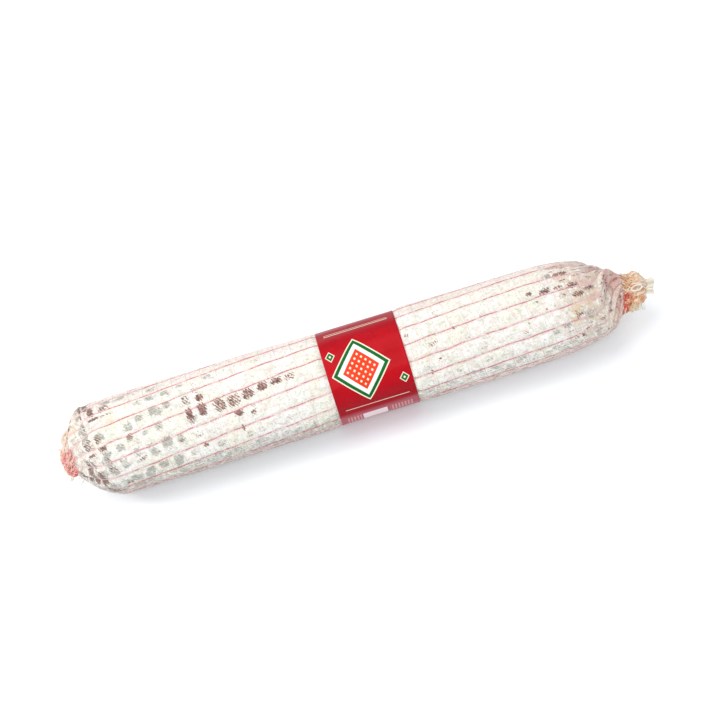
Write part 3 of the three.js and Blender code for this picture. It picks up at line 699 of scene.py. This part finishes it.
def casing_material():
    paint = Paint("mould_dusted_casing")
    where = paint.object_place()
    along, _, _ = paint.apart(where)
    hoop, gap, _ = paint.apart(paint.surface_uv())
    at_thread = ((gap.fract() - 0.5).abs() * 2).smooth(0.70, 0.98)
    at_hoop = ((hoop.fract() - 0.5).abs() * 2).smooth(0.70, 0.96)
    wide = paint.noise(where, 26, 2)
    cloudy = paint.noise(where, 7, 5, 0.65)
    mottled = paint.noise(where, 3.0, 4, 0.7)
    tinted = paint.noise(where, 4.6, 4, 0.7, 0.6)
    fine = paint.noise(where, 1.6, 3, 0.7)
    streaks = paint.noise(paint.together(hoop * 2.8, gap * 8.5), 1000, 3, 0.6, 0.8)
    wrinkles = paint.noise(paint.together(hoop * 6.5, gap * 2.2, 3.0), 1000, 3, 0.6, 0.8)
    weave = streaks.smooth(0.38, 0.62) * 0.5 + wrinkles.smooth(0.38, 0.62) * 0.5
    strokes = hoop * 5.0 + gap * 4.0 + cloudy * 3.0 + streaks * 1.5
    hatch = (strokes.fract() - 0.5).abs().smooth(0.1, 0.4)
    broken = hatch * streaks.smooth(0.38, 0.58)
    grey = paint.attribute("grey")
    brown = paint.attribute("brown")
    stain = paint.attribute("stain")
    pink = paint.attribute("pink")
    right_end = along.smooth(0.184, 0.214)
    left_end = along.smooth(-0.230, -0.252)
    neck = along.smooth(0.236, 0.248)

    ageing = (right_end - neck * 0.4) * (mottled.smooth(0.36, 0.6) + 0.15)
    creased = right_end * wrinkles.smooth(0.50, 0.66)
    dulled = left_end * (wrinkles.smooth(0.42, 0.62) * 0.5 + mottled.smooth(0.40, 0.60) * 0.3)
    streaked = streaks.smooth(0.54, 0.64) * cloudy.smooth(0.62, 0.46)
    stained = (stain + (mottled - 0.5) * 1.6 + (tinted - 0.5) * 1.2).smooth(0.2, 1.0)
    pinkish = (pink + (cloudy - 0.5) * 0.9 + (mottled - 0.5) * 0.8).smooth(0.2, 1.0)
    reddened = neck * (wrinkles.smooth(0.36, 0.60) * 0.6 + 0.4)
    beside = at_thread * cloudy.smooth(0.35, 0.6)
    # greyed carries the grey mould and the painted shade along the lowest part of the seen side.
    greyed = grey * 1.05 + (mottled - 0.5) * 1.6 + (cloudy - 0.5) * 1.3 + (broken - 0.3) * 0.2
    greyed = greyed.smooth(0.3, 1.0) * (broken * 0.28 + 0.62)
    ragged = brown + (mottled - 0.5) * 1.5 + (tinted - 0.5) * 1.0 + (hatch - 0.5) * 0.5
    dark = ragged.smooth(0.26, 0.7) * brown.smooth(0.03, 0.22)
    dusted = at_hoop * (1 - at_thread * 0.6) * cloudy.smooth(0.40, 0.56) * (1 - right_end * 0.7)
    dusted = dusted * (1 - grey * 0.5) * (1 - pink * 0.8)

    colour = paint.colour_mix(cloudy.smooth(0.36, 0.58), rgb(242, 235, 225), rgb(255, 253, 248))
    colour = paint.layered(
        colour,
        (wide.smooth(0.45, 0.62) * 0.42, (248, 243, 218)),
        (tinted.smooth(0.54, 0.63) * 0.85, (220, 226, 208)),
        (tinted.smooth(0.46, 0.36) * 0.7, (240, 208, 204)),
        (broken * cloudy.smooth(0.56, 0.44) * 0.5, (212, 205, 194)),
        (ageing * 0.55, (216, 190, 168)),
        (creased * 0.5, (192, 152, 140)),
        (dulled, (196, 172, 162)),
        (mottled.smooth(0.56, 0.66) * 0.5, (206, 200, 188)),
        (mottled.smooth(0.45, 0.35) * 0.8, (255, 254, 252)),
        (fine.smooth(0.58, 0.68) * 0.35, (190, 182, 172)),
        (streaked * 0.55, (202, 206, 192)),
        (stained * 0.72, (234, 204, 162)),
        (pinkish * 0.65, (212, 160, 156)),
        (reddened * 0.42, (230, 152, 126)),
        (beside * 0.7, (242, 210, 209)),
        (greyed, (146, 146, 136)),
    )
    worn = (weave + (fine - 0.5) * 1.4).smooth(0.1, 0.9)
    bare = paint.colour_mix(worn, rgb(92, 38, 32), rgb(174, 130, 116))
    bare = paint.layered(bare, (left_end * 0.5, (104, 88, 76)))
    colour = paint.colour_mix(dark * 0.95, colour, bare)
    colour = paint.layered(colour, (dusted * 0.75, (250, 246, 240)))

    rough = 0.92 - dark * 0.3
    height = mottled * 0.5 + fine * 0.3 + weave * (0.25 + brown * 0.6) - hatch * grey * 0.3
    normal = paint.bump(height, 1.0, 0.7)
    return paint.surface(Base_Color=colour, Roughness=rough, Normal=normal, Sheen_Weight=0.1)


def thread_material(name, core, worn, dust, dust_start):
    """Elastic thread whose colour shows between patches of white mould."""
    paint = Paint(name)
    where = paint.object_place()
    along, across, up = paint.apart(where)
    patches = paint.noise(where, 9, 4, 0.65)
    fine = paint.noise(where, 1.4, 3, 0.7)
    strands = paint.noise(where, 0.35, 2)
    colour = paint.colour_mix(fine.smooth(0.35, 0.65), rgb(*core), rgb(*worn))
    dusted = (patches * 0.6 + fine * 0.4).smooth(dust_start, dust_start + 0.14)
    if name == LENGTHWISE:
        right = along.smooth(0.200, 0.214) * along.smooth(0.240, 0.232)
        left = along.smooth(-0.225, -0.240)
        dusted = dusted.most(right * 0.8).most(left * 0.75) * along.smooth(0.250, 0.236)
        # Painted light: a lighter pink on the threads at the right neck, where they lie in the shade of its
        # valley.
        colour = paint.layered(colour, (along.smooth(0.232, 0.244) * 0.8, (222, 148, 144)))
    colour = paint.layered(colour, (dusted * 0.85, dust))
    if name == CROSSWISE:
        # Painted shade as well as grey mould: the cross threads turn grey towards the lowest part of the
        # seen side; they are also greyer towards its highest part.
        level = across * math.sin(UPPER_FRONT) + (up - AXIS_HEIGHT * MM) * math.cos(UPPER_FRONT)
        colour = paint.layered(
            colour,
            (along.smooth(0.180, 0.205) * 0.9, (222, 198, 182)),
            (level.smooth(-0.022, -0.034) * 0.9, (208, 196, 188)),
            (level.smooth(0.030, 0.040) * 0.6, (208, 196, 188)),
        )
    normal = paint.bump(strands + fine, 0.3, 0.6)
    return paint.surface(Base_Color=colour, Roughness=0.85, Normal=normal, Sheen_Weight=0.2)


def inside_box(x, y, middle, half, soft=0.12):
    """One inside an upright box on the band, in millimetres."""
    across = (x - middle[0]).abs() - half[0]
    up = (y - middle[1]).abs() - half[1]
    return across.most(up).smooth(soft, -soft)


def inside_lozenge(x, y, middle, half, soft=0.12):
    reach = (x - middle[0]).abs() / half[0] + (y - middle[1]).abs() / half[1]
    return (reach - 1).smooth(soft / half[0], -soft / half[0])


def band_material():
    """Coated crimson paper with a print of plain shapes, and painted shade that darkens its red towards the
    top and the bottom of the seen side.
    """
    paint = Paint("printed_paper")
    where = paint.object_place()
    x, up, _ = paint.apart(paint.surface_uv())
    x, up = x * 100, up * 100
    fibres = paint.noise(where, 1.2, 3)
    cloudy = paint.noise(where, 18, 2)
    cream, green, leaf = (252, 244, 218), (8, 112, 46), (4, 84, 34)
    white, orange = (255, 253, 250), (240, 66, 30)
    colour = paint.colour_mix(cloudy.smooth(0.3, 0.7), rgb(196, 8, 26), rgb(184, 6, 24))
    # Painted shade: the first two layers darken the red towards the lowest and the highest part of the seen
    # side; the rest is print.
    print_and_shade_layers = [(up.smooth(-10, -40) * 0.7, (140, 8, 26)), (up.smooth(22, 50) * 0.65, (136, 8, 30))]

    def lozenge(place_here, half, ink):
        print_and_shade_layers.append((inside_lozenge(x, up, place_here, half), ink))

    middle = (5.0, 1.0)
    lozenge(middle, (27.5, 31.5), cream)
    lozenge(middle, (26.0, 29.8), green)
    lozenge(middle, (24.6, 28.2), leaf)
    lozenge(middle, (23.9, 27.4), green)
    lozenge(middle, (22.0, 25.4), white)
    lozenge(middle, (17.0, 19.8), orange)
    for row in range(-2, 3):
        for column in range(-2, 3):
            across, height = (column - row) * 3.1, (column + row) * 3.6
            lozenge((middle[0] + across, middle[1] + height), (1.25, 1.45), cream)
    for side in (-1, 1):
        corner = (LABEL_MIDDLE + side * 29.5, middle[1] - side * 19.0)
        lozenge(corner, (4.6, 5.4), cream)
        lozenge(corner, (3.6, 4.2), green)
        lozenge(corner, (1.2, 1.4), cream)
    for height, half in ((46.0, 0.5), (48.5, 0.3), (-35.5, 0.35)):
        print_and_shade_layers.append((inside_box(x, up, (LABEL_MIDDLE, height), (30.0, half)) * 0.75, cream))
    print_and_shade_layers.append((inside_box(x, up, (6.0, -56.0), (11.5, 8.0)), white))
    comb = ((x / 3.0).fract() - 0.5).abs().smooth(0.30, 0.24)
    for start, end in ((-20.0, -7.0), (20.0, 42.0)):
        teeth = inside_box(x, up, ((start + end) / 2, -55.0), ((end - start) / 2, 7.0)) * comb
        print_and_shade_layers.append((teeth * 0.4, cream))
    edge = (x - LABEL_MIDDLE).abs().smooth(LABEL_HALF - 0.5, LABEL_HALF)
    colour = paint.layered(
        colour, *print_and_shade_layers,
        (up.smooth(-39, -47) * 0.4, (196, 128, 144)),
        (fibres.smooth(0.60, 0.72) * 0.1, (224, 120, 120)),
        (edge * 0.45, (232, 170, 170)),
    )
    rough = 0.3 + fibres * 0.12
    normal = paint.bump(fibres + cloudy * 2, 0.35, 0.25)
    return paint.surface(Base_Color=colour, Roughness=rough, Normal=normal, Specular_IOR_Level=0.09)


def tail_material(name, pale, deep, shade):
    """Dried casing past the tie: waxy, pleated and stained."""
    paint = Paint(name)
    where = paint.object_place()
    cloudy = paint.noise(where, 4.5, 3, 0.6)
    fine = paint.noise(where, 0.9, 3, 0.6)
    colour = paint.colour_mix(cloudy.smooth(0.35, 0.65), rgb(*pale), rgb(*deep))
    colour = paint.layered(colour, (fine.smooth(0.58, 0.75) * 0.6, shade))
    normal = paint.bump(fine + cloudy, 0.6, 0.6)
    return paint.surface(
        Base_Color=colour, Roughness=0.5, Normal=normal, Coat_Weight=0.15, Coat_Roughness=0.35,
    )


def floor_material():
    paint = Paint("white_table")
    fine = paint.noise(paint.object_place(), 6, 2)
    colour = paint.colour_mix(fine, (0.865, 0.90, 0.93, 1), (0.885, 0.915, 0.94, 1))
    return paint.surface(
        Base_Color=colour, Roughness=0.7, Specular_IOR_Level=0.1,
        Emission_Color=(0.90, 0.97, 1.0, 1), Emission_Strength=0.10,
    )


CASING = casing_material()
# Each thread's name, core, worn and dusted colour, and the noise value where the dust starts
LENGTHWISE, CROSSWISE = "net_thread_pink", "cross_thread_white"
THREADS_MADE = (
    (LENGTHWISE, (200, 100, 114), (230, 158, 164), (248, 230, 226), 0.46),
    (CROSSWISE, (238, 230, 221), (247, 241, 235), (253, 250, 246), 0.47),
    ("gathered_thread_red", (226, 74, 66), (242, 122, 112), (255, 196, 186), 0.56),
    ("gathered_thread_pink", (248, 138, 130), (254, 184, 176), (255, 232, 226), 0.48),
    ("gathered_thread_orange", (255, 160, 104), (255, 202, 154), (255, 238, 216), 0.5),
    ("gathered_thread_tan", (252, 210, 184), (254, 230, 212), (255, 248, 240), 0.48),
    ("gathered_thread_beige", (255, 212, 166), (255, 234, 204), (255, 250, 238), 0.48),
    ("gathered_thread_cream", (250, 236, 214), (254, 246, 230), (255, 251, 242), 0.5),
    ("gathered_thread_yellow", (255, 226, 170), (255, 240, 206), (255, 251, 234), 0.48),
    ("tie_string_pink", (216, 120, 108), (232, 156, 140), (246, 204, 188), 0.55),
)
THREAD_KINDS = [thread_material(*row) for row in THREADS_MADE]
THREAD, HOOP, RED, PINK, ORANGE, TAN, BEIGE, CREAM, YELLOW, STRING = THREAD_KINDS
PAPER = band_material()
AMBER_TAIL = tail_material("dried_casing_amber", (255, 236, 214), (254, 206, 172), (244, 172, 140))
CREAM_TAIL = tail_material("dried_casing_cream", (252, 250, 240), (246, 236, 216), (228, 208, 180))
TABLE = floor_material()


# Casing

def row_places():
    """Places of the casing's rows: fine on the ends, few under the band."""
    distance = np.minimum(ARC, ARC[-1] - ARC)
    step = blend(0.95, 1.8, ease(distance, 40, 110))
    hidden = (ALONG > LABEL_LEFT + 6) & (ALONG < LABEL_RIGHT - 6)
    step = np.where(hidden, 6.0, step)
    count = np.concatenate([[0], np.cumsum(np.diff(ARC) / step[1:])])
    return np.interp(np.arange(0, count[-1], 1.0), count, ALONG)


ROWS = np.append(row_places(), RIGHT_END["neck"])
TAIL_ROWS = 5
SKIN_COLUMNS = 12 * THREADS


def casing_place(row_share, column_share):
    """Row number, place along X, angle and gap of a point of the casing's grid."""
    row = np.rint(row_share * (len(ROWS) - 1 + 2 * TAIL_ROWS)).astype(int) - TAIL_ROWS
    x = ROWS[np.clip(row, 0, len(ROWS) - 1)]
    gap = np.rint(column_share * SKIN_COLUMNS) * THREADS / SKIN_COLUMNS
    return row, x, thread_angle(x, gap), gap


def casing_shape(row_share, column_share):
    row, x, angle, gap = casing_place(row_share, column_share)
    point = skin_point(leaned(x, angle), angle, gap)
    for side, end, past in ((-1, LEFT_END, -row), (1, RIGHT_END, row - len(ROWS) + 1)):
        share = np.clip(past / TAIL_ROWS, 0, 1)
        radius = end["radius"] * np.where(share < 1, 1 - 0.45 * share ** 3, 0.0)
        tail = place(end["neck"] + side * 7.0 * share, radius, angle)
        point = np.where(past[:, None] > 0, tail, point)
    return point


def casing_strength(kind):
    def strength(row_share, column_share):
        _, x, angle, gap = casing_place(row_share, column_share)
        hoop = hoop_number(x)
        width = 2 * math.pi * casing_radius(x) / THREADS
        spots, spread = {
            "brown": (BROWN_SPOTS, scattered_brown(angle, hoop, gap)),
            "grey": (GREY_SPOTS, grey_mould_and_low_shade(x, angle, hoop, gap)),
            "stain": (STAINS, fold_tan(x, angle)),
            "pink": (PINKS, edge_pink_and_low_shade(angle)),
        }[kind]
        return np.maximum(blotches(spots, hoop, gap, width), spread)
    return strength


def casing_uv(row_share, column_share):
    _, x, _, gap = casing_place(row_share, column_share)
    return np.c_[hoop_number(x), gap]


def make_casing():
    rows = len(ROWS) - 1 + 2 * TAIL_ROWS
    kinds = {kind: casing_strength(kind) for kind in ("brown", "grey", "stain", "pink")}
    return wrapped_sheet("casing_skin", rows, SKIN_COLUMNS, casing_shape, CASING, casing_uv, kinds)


# Net

def thread_path(thread):
    rows = ROWS[(ROWS < LABEL_LEFT + 3) | (ROWS > LABEL_RIGHT - 3) | (np.arange(len(ROWS)) % 2 == 0)]
    hoop = hoop_number(rows)
    waves = 0.006 * np.sin(rows / 9.1 + 2.1 * thread) + 0.007 * np.sin(math.pi * (hoop + thread) + 0.6)
    waves *= (1 - pinch(rows)) * ease(neck_distance(rows), 4, 24)
    angle = thread_angle(rows, thread) + waves
    gap = thread + waves / GAP_ANGLE
    x = leaned(rows, angle)
    lift = THREAD_RADIUS * 0.45
    body = skin_point(x, angle, gap, lift)
    body[:, 2] = np.maximum(body[:, 2], THREAD_RADIUS * (1.1 + KNOT))
    knot = 1 + KNOT * np.exp(-(((hoop - np.round(hoop)) * HOOP_PITCH / 1.2) ** 2))
    ends = []
    for end, side, length in ((LEFT_END, -1, 4.6), (RIGHT_END, 1, 6.6)):
        share = np.linspace(0.25, 1, 5)
        xs = end["neck"] + side * length * share
        ends.append(place(xs, end["radius"] + 0.8, thread_angle(xs, thread)))
    points = np.vstack([ends[0][::-1], body, ends[1]])
    return points, np.concatenate([np.ones(5), knot, np.ones(5)])


HOOP_POINTS = 6  # points of a hoop between two threads


def hoop_path(x_hoop):
    count = HOOP_POINTS * THREADS
    gap = np.arange(count) / HOOP_POINTS
    rows = np.full(count, x_hoop)
    angle = thread_angle(rows, gap)
    path = skin_point(leaned(rows, angle), angle, gap, HOOP_RADIUS * 0.1)
    path[:, 2] = np.maximum(path[:, 2], HOOP_RADIUS)
    return path


def make_net():
    threads = cords("net_threads", [thread_path(k) for k in range(THREADS)], THREAD_RADIUS, THREAD)
    open_hoops = [x for x in hoop_places() if not LABEL_LEFT - 1 < x < LABEL_RIGHT + 1]
    hoops = cords("net_cross_threads", [hoop_path(x) for x in open_hoops], HOOP_RADIUS, HOOP, closed=True)
    return threads, hoops


# Paper band

BAND_SEAM = math.radians(-150)
BAND_OVERLAP = math.radians(16)
BAND_GRID = (48, 260)
PAPER_THICKNESS = 0.25


def band_shape(row_share, column_share):
    x = blend(LABEL_LEFT, LABEL_RIGHT, row_share)
    turn = (2 * math.pi + BAND_OVERLAP) * column_share
    angle = BAND_SEAM + turn
    radius = LABEL_OUTER - 0.35 + 0.5 * ease(column_share, 0.93, 0.985)
    gap = (angle - thread_angle(x, 0)) / GAP_ANGLE
    radius = radius + 0.16 * np.cos(2 * math.pi * gap)
    edge = np.maximum(ease(x, LABEL_LEFT + 3, LABEL_LEFT), ease(x, LABEL_RIGHT - 3, LABEL_RIGHT))
    radius = radius + 0.3 * edge * (0.5 + 0.5 * np.sin(3 * angle + x / 9))
    point = place(x, radius, angle)
    point[:, 2] = np.maximum(point[:, 2], LABEL_CLEARANCE)
    return point


def band_uv(row_share, column_share):
    x = blend(LABEL_LEFT, LABEL_RIGHT, row_share)
    angle = BAND_SEAM + (2 * math.pi + BAND_OVERLAP) * column_share
    return np.c_[x / 100, (angle - UPPER_FRONT) * LABEL_OUTER / 100]


def make_band():
    band = wrapped_sheet("paper_band", *BAND_GRID, band_shape, PAPER, band_uv)
    wall = band.modifiers.new("paper thickness", "SOLIDIFY")
    wall.thickness = PAPER_THICKNESS * MM
    wall.offset = -1
    return band


# Gathered ends: radii of the cords that they are made of

LOOP_RADIUS = 0.5
FINE_LOOP_RADIUS = 0.42
FRAY_RADIUS = 0.36
HAIR_RADIUS = 0.14
PLY_RADIUS = 0.62
ALL_ROUND = (-180, 180)
TAIL_GRID = (36, 216)
TAIL_WALL = 0.35


def wound_string(name, side, start, radius, turns):
    """String wound round a neck, its two plies twisted, with a knot in front."""
    cord, sway = 1.0, 0.45
    knot_angle = UPPER_FRONT - 0.25
    plies = []
    count = 90 * turns
    share = np.linspace(0, 1, count)
    for ply in (0, 1):
        turn = 2 * math.pi * turns * share + UPPER_FRONT
        twirl = 2 * math.pi * 11 * turns * share + ply * math.pi
        xs = start + side * (cord + share * turns * 1.75 * cord) + sway * cord * np.cos(twirl)
        plies.append(place(xs, radius + cord + sway * cord * np.sin(twirl), turn))
    knot_x = start + side * (cord + turns * 0.9 * cord)
    for offset, tilt in ((0.0, 0.0), (0.09, 0.8)):
        loop = np.linspace(0, 2 * math.pi, 24)
        xs = knot_x + 1.9 * np.cos(loop)
        out = radius + 2.2 * cord + 0.9 * np.sin(loop + tilt)
        plies.append(place(xs, out, knot_angle + offset + 0.05 * np.sin(loop)))
    for lean in (-1, 1):
        plies.append(smooth_path([
            place(knot_x, radius + 2.6 * cord, knot_angle),
            place(knot_x + lean * 1.2, radius + 4.0 * cord, knot_angle + 0.1 * lean),
            place(knot_x + side * 2.8, radius + 4.4 * cord, knot_angle + 0.22 * lean),
        ], 10))
    return cords(name, plies, PLY_RADIUS, STRING)


def net_loops(seed, count, profile, angles, wander, points=14):
    """Loops of gathered thread over a bunch; profile gives places along X with radii."""
    chance = random.Random(seed)
    places, radii = zip(*profile)
    paths = []
    for _ in range(count):
        angle = math.radians(chance.uniform(*angles))
        spread = chance.uniform(-0.45, 0.45)
        scale = chance.uniform(0.82, 1.06)
        first = chance.uniform(0.0, 0.25)
        last = chance.uniform(0.6, 1.0)
        shares = np.linspace(first, last, 5)
        xs = np.interp(shares, np.linspace(0, 1, len(places)), places)
        rs = np.interp(shares, np.linspace(0, 1, len(radii)), radii)
        knots = []
        for k, (x, radius) in enumerate(zip(xs, rs)):
            swing = angle + spread * k / 4 + chance.uniform(-0.12, 0.12)
            reach = radius * scale + chance.uniform(-wander, wander)
            knots.append(place(x + chance.uniform(-0.8, 0.8), reach, swing))
        back = angle + spread + chance.uniform(0.15, 0.4) * chance.choice((-1, 1))
        knots.append(place(xs[3], rs[3] * 0.6, back))
        paths.append(smooth_path(knots, points))
    return paths


def hairs(seed, count, root, reach, angles):
    """Thin loose ends that stand out of a bunch."""
    chance = random.Random(seed)
    paths = []
    for _ in range(count):
        angle = math.radians(chance.uniform(*angles))
        x, radius = root
        dx, dr = reach
        bend = chance.uniform(-0.5, 0.5)
        length = chance.uniform(0.45, 1.0)
        paths.append(smooth_path([
            place(x, radius, angle),
            place(x + dx * 0.4 * length, radius + dr * 0.6 * length, angle + bend * 0.3),
            place(x + dx * 0.8 * length, radius + dr * length, angle + bend * 0.8),
            place(x + dx * length, radius + dr * 0.8 * length, angle + bend * 1.4),
        ], 12))
    return paths


def ruffled_tail(name, profile, ruffle, counts, seed, material):
    """Pleated sheet round the axis; profile gives places along X, radii and ruffle shares."""
    chance = random.Random(seed)
    phases = [chance.uniform(0, 2 * math.pi) for _ in counts]
    places, radii, shares = (np.array(values, float) for values in zip(*profile))
    knots = np.linspace(0, 1, len(places))

    def shape(row_share, column_share):
        angle = 2 * math.pi * column_share
        x = np.interp(row_share, knots, places)
        radius = np.interp(row_share, knots, radii)
        depth = np.interp(row_share, knots, shares) * ruffle
        waves = sum(
            np.sin(count * angle + phase + 1.1 * row_share * (k + 1)) / (1 + 0.45 * k)
            for k, (count, phase) in enumerate(zip(counts, phases))
        )
        sharp = np.sign(waves) * np.abs(waves) ** 0.8
        x = x + depth * 0.45 * np.sin(3 * angle + phases[0])
        return place(x, np.maximum(radius + depth * sharp, 0.5), angle)

    def uv(row_share, column_share):
        return np.c_[column_share, row_share]

    tail = wrapped_sheet(name, *TAIL_GRID, shape, material, uv)
    thickness = tail.modifiers.new("casing wall", "SOLIDIFY")
    thickness.thickness = TAIL_WALL * MM
    thickness.offset = 0
    return tail


def make_left_end():
    pieces = {}
    over = [(-266.0, 26.6), (-269.6, 21.2), (-272.6, 17.4), (-275.6, 15.0), (-279.0, 13.0)]
    over.append((-281.4, 8.6))
    inner = [(-273.4, 13.4), (-275.6, 12.6), (-278.0, 11.6), (-280.4, 8.4), (-281.4, 4.0)]
    red = net_loops(11, 54, inner, ALL_ROUND, 1.2)
    pink = net_loops(12, 40, over, (10, 80), 1.9)
    pink += net_loops(16, 56, inner, (-180, 10), 1.7)
    beige = net_loops(17, 34, over, (86, 180), 1.6)
    pieces["bunch_red"] = cords("bunch_left_red", red, LOOP_RADIUS, RED)
    pieces["bunch_pink"] = cords("bunch_left_pink", pink, LOOP_RADIUS, PINK)
    pieces["bunch_beige"] = cords("bunch_left_beige", beige, LOOP_RADIUS, TAN)
    loose = hairs(13, 90, (-277.0, 13.0), (-7.0, 4.5), ALL_ROUND)
    loose += hairs(15, 60, (-270.0, 20.0), (-5.0, 3.0), ALL_ROUND)
    loose.append(smooth_path([
        place(-282, 8, math.radians(70)), place(-291, 12, math.radians(62)),
        place(-296, 7, math.radians(50)), place(-294, 9, math.radians(-20)),
        place(-288, 10, math.radians(-30)),
    ], 22))
    pieces["hairs"] = cords("loose_hairs_left", loose, HAIR_RADIUS, CREAM, sides=4)
    profile = [
        (-275.0, 9.5, 0.2), (-277.0, 7.6, 0.5), (-279.2, 6.6, 0.8), (-280.8, 7.4, 1.1),
        (-281.6, 8.2, 1.4),
    ]
    pieces["tip"] = ruffled_tail("casing_tip_left", profile, 1.0, (7, 12, 19), 14, AMBER_TAIL)
    pieces["tie"] = wound_string("wound_tie_left", -1, -273.9, 11.0, 1)
    return pieces


def make_right_end():
    pieces = {}
    start = [(252.8, 19.0), (255.4, 16.4), (258.4, 15.2)]
    over = start + [(262.0, 15.2), (266.5, 16.0), (272.5, 13.2), (277.8, 8.4)]
    upper = start + [(261.0, 15.4), (264.5, 16.4), (269.5, 13.0), (275.0, 8.0)]
    low = [(252.2, 18.8), (254.6, 16.8), (257.0, 15.8), (259.4, 15.6)]
    red = net_loops(21, 56, low, (-66, 40), 1.0)
    orange = net_loops(22, 104, over, (-160, 60), 1.7)
    orange += net_loops(30, 46, upper, (56, 100), 1.6)
    beige = net_loops(28, 96, upper, (50, 200), 1.7)
    cream = net_loops(23, 26, over, (-120, 140), 2.0)
    cream.append((cream_ring(), np.full(26, 1.6)))
    pieces["bunch_red"] = cords("bunch_right_red", red, LOOP_RADIUS, RED)
    pieces["bunch_orange"] = cords("bunch_right_orange", orange, FINE_LOOP_RADIUS, ORANGE)
    pieces["bunch_beige"] = cords("bunch_right_beige", beige, FINE_LOOP_RADIUS, BEIGE)
    pieces["bunch_cream"] = cords("bunch_right_cream", cream, LOOP_RADIUS, CREAM)
    frays = hairs(24, 44, (263.5, 14.0), (6.0, 4.6), (-46, 0))
    frays += hairs(29, 36, (258.5, 14.6), (6.0, 4.6), (-50, -4))
    pieces["frays"] = cords("frays_right", frays, FRAY_RADIUS, YELLOW, sides=4)
    loose = hairs(25, 26, (269.0, 15.0), (6.0, 5.0), ALL_ROUND)
    pieces["hairs"] = cords("loose_hairs_right", loose, HAIR_RADIUS, CREAM, sides=4)
    bulb = [
        (259.0, 10.5, 0.2), (260.8, 13.2, 0.7), (264.0, 15.0, 1.2), (267.4, 15.6, 1.4),
        (270.8, 12.4, 1.4), (274.2, 9.0, 1.1), (276.4, 5.6, 0.7), (275.8, 3.0, 0.3),
    ]
    pieces["tail"] = ruffled_tail("casing_tail_right", bulb, 1.15, (13, 21, 34), 26, AMBER_TAIL)
    flap = [
        (270.0, 4.5, 0.2), (275.0, 5.0, 0.5), (279.0, 5.6, 0.8), (281.8, 6.0, 1.1),
        (283.8, 6.4, 1.3),
    ]
    pieces["tip"] = ruffled_tail("casing_tip_right", flap, 1.1, (5, 9, 16), 27, CREAM_TAIL)
    pieces["tie"] = wound_string("wound_tie_right", 1, 257.2, 12.4, 2)
    return pieces


def cream_ring():
    """The pale loop that stands open on the front of the right bunch."""
    turn = np.linspace(0.3, 2 * math.pi + 0.1, 26)
    angle = UPPER_FRONT + math.radians(5) + 0.12 * np.sin(turn)
    return place(265.6 + 5.2 * np.cos(turn), 19.2 + 0.4 * np.sin(2 * turn), angle)


# Table, light and camera

def make_floor():
    bm = bmesh.new()
    bmesh.ops.create_grid(bm, x_segments=1, y_segments=1, size=2.5)
    floor = mesh_object("table_top", bm, TABLE, smooth=False)


# Each lamp's name, place, size, power and colour; all aim at the middle of the table
LAMPS = (
    ("overhead_softbox", (-200, 100, 1700), 1200, 9.5, (1.0, 0.99, 0.97)),
    ("key_light", (-1500, 250, 1000), 500, 10.5, (1.0, 0.98, 0.95)),
    ("front_fill", (-260, -1300, 1400), 1000, 10.5, (1.0, 0.99, 0.97)),
    ("back_softbox", (0, 1600, 500), 1100, 4, (1.0, 1.0, 1.0)),
)


def area_light(name, place_mm, size_mm, power, colour):
    light = bpy.data.lights.new(name, "AREA")
    light.shape = "DISK"
    light.size = size_mm * MM
    light.energy = power
    light.color = colour
    lamp = bpy.data.objects.new(name, light)
    lamp.location = Vector(place_mm) * MM
    aim = -Vector(place_mm).normalized()
    lamp.rotation_euler = aim.to_track_quat("-Z", "Y").to_euler()
    bpy.context.collection.objects.link(lamp)


def make_light():
    world = bpy.data.worlds.new("white_room")
    world.use_nodes = True
    background = world.node_tree.nodes["Background"]
    background.inputs["Color"].default_value = (0.95, 0.975, 1.0, 1.0)
    background.inputs["Strength"].default_value = 0.77
    bpy.context.scene.world = world
    for lamp in LAMPS:
        area_light(*lamp)
    bpy.context.scene.view_settings.view_transform = "Standard"


def make_camera():
    camera = bpy.data.objects.new("camera", bpy.data.cameras.new("camera"))
    camera.data.lens = CAMERA_LENS
    camera.data.sensor_width = 36.0
    camera.data.clip_end = 10.0
    towards = Vector((0, -math.cos(UPPER_FRONT), math.sin(UPPER_FRONT)))
    level_up = Vector((0, math.sin(UPPER_FRONT), math.cos(UPPER_FRONT)))
    right = Vector((1, 0, 0)) * math.cos(CAMERA_ROLL) - level_up * math.sin(CAMERA_ROLL)
    up = Vector((1, 0, 0)) * math.sin(CAMERA_ROLL) + level_up * math.cos(CAMERA_ROLL)
    position = (Vector((CAMERA_X, *CAMERA_AIM)) + towards * CAMERA_DISTANCE) * MM
    turned = Matrix((right, up, towards)).transposed().to_4x4()
    camera.matrix_world = Matrix.Translation(position) @ turned
    bpy.context.collection.objects.link(camera)
    bpy.context.scene.camera = camera


# Putting it together

make_camera()
make_light()
make_floor()

casing = make_casing()
threads, hoops = make_net()
band = make_band()
left = make_left_end()
right = make_right_end()

for piece in (casing, threads, hoops, band, *left.values(), *right.values()):
    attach(piece, "root")

for piece in (casing, left["tip"], right["tip"], right["tail"]):
    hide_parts("cased_sausage")

ends = (*left.items(), *right.items())
gathered = [piece for key, piece in ends if key not in ("tip", "tail", "tie")]
for piece in (threads, hoops, *gathered):
    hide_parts("netting")

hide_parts("label_band")
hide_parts("tie_left")
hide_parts("tie_right")
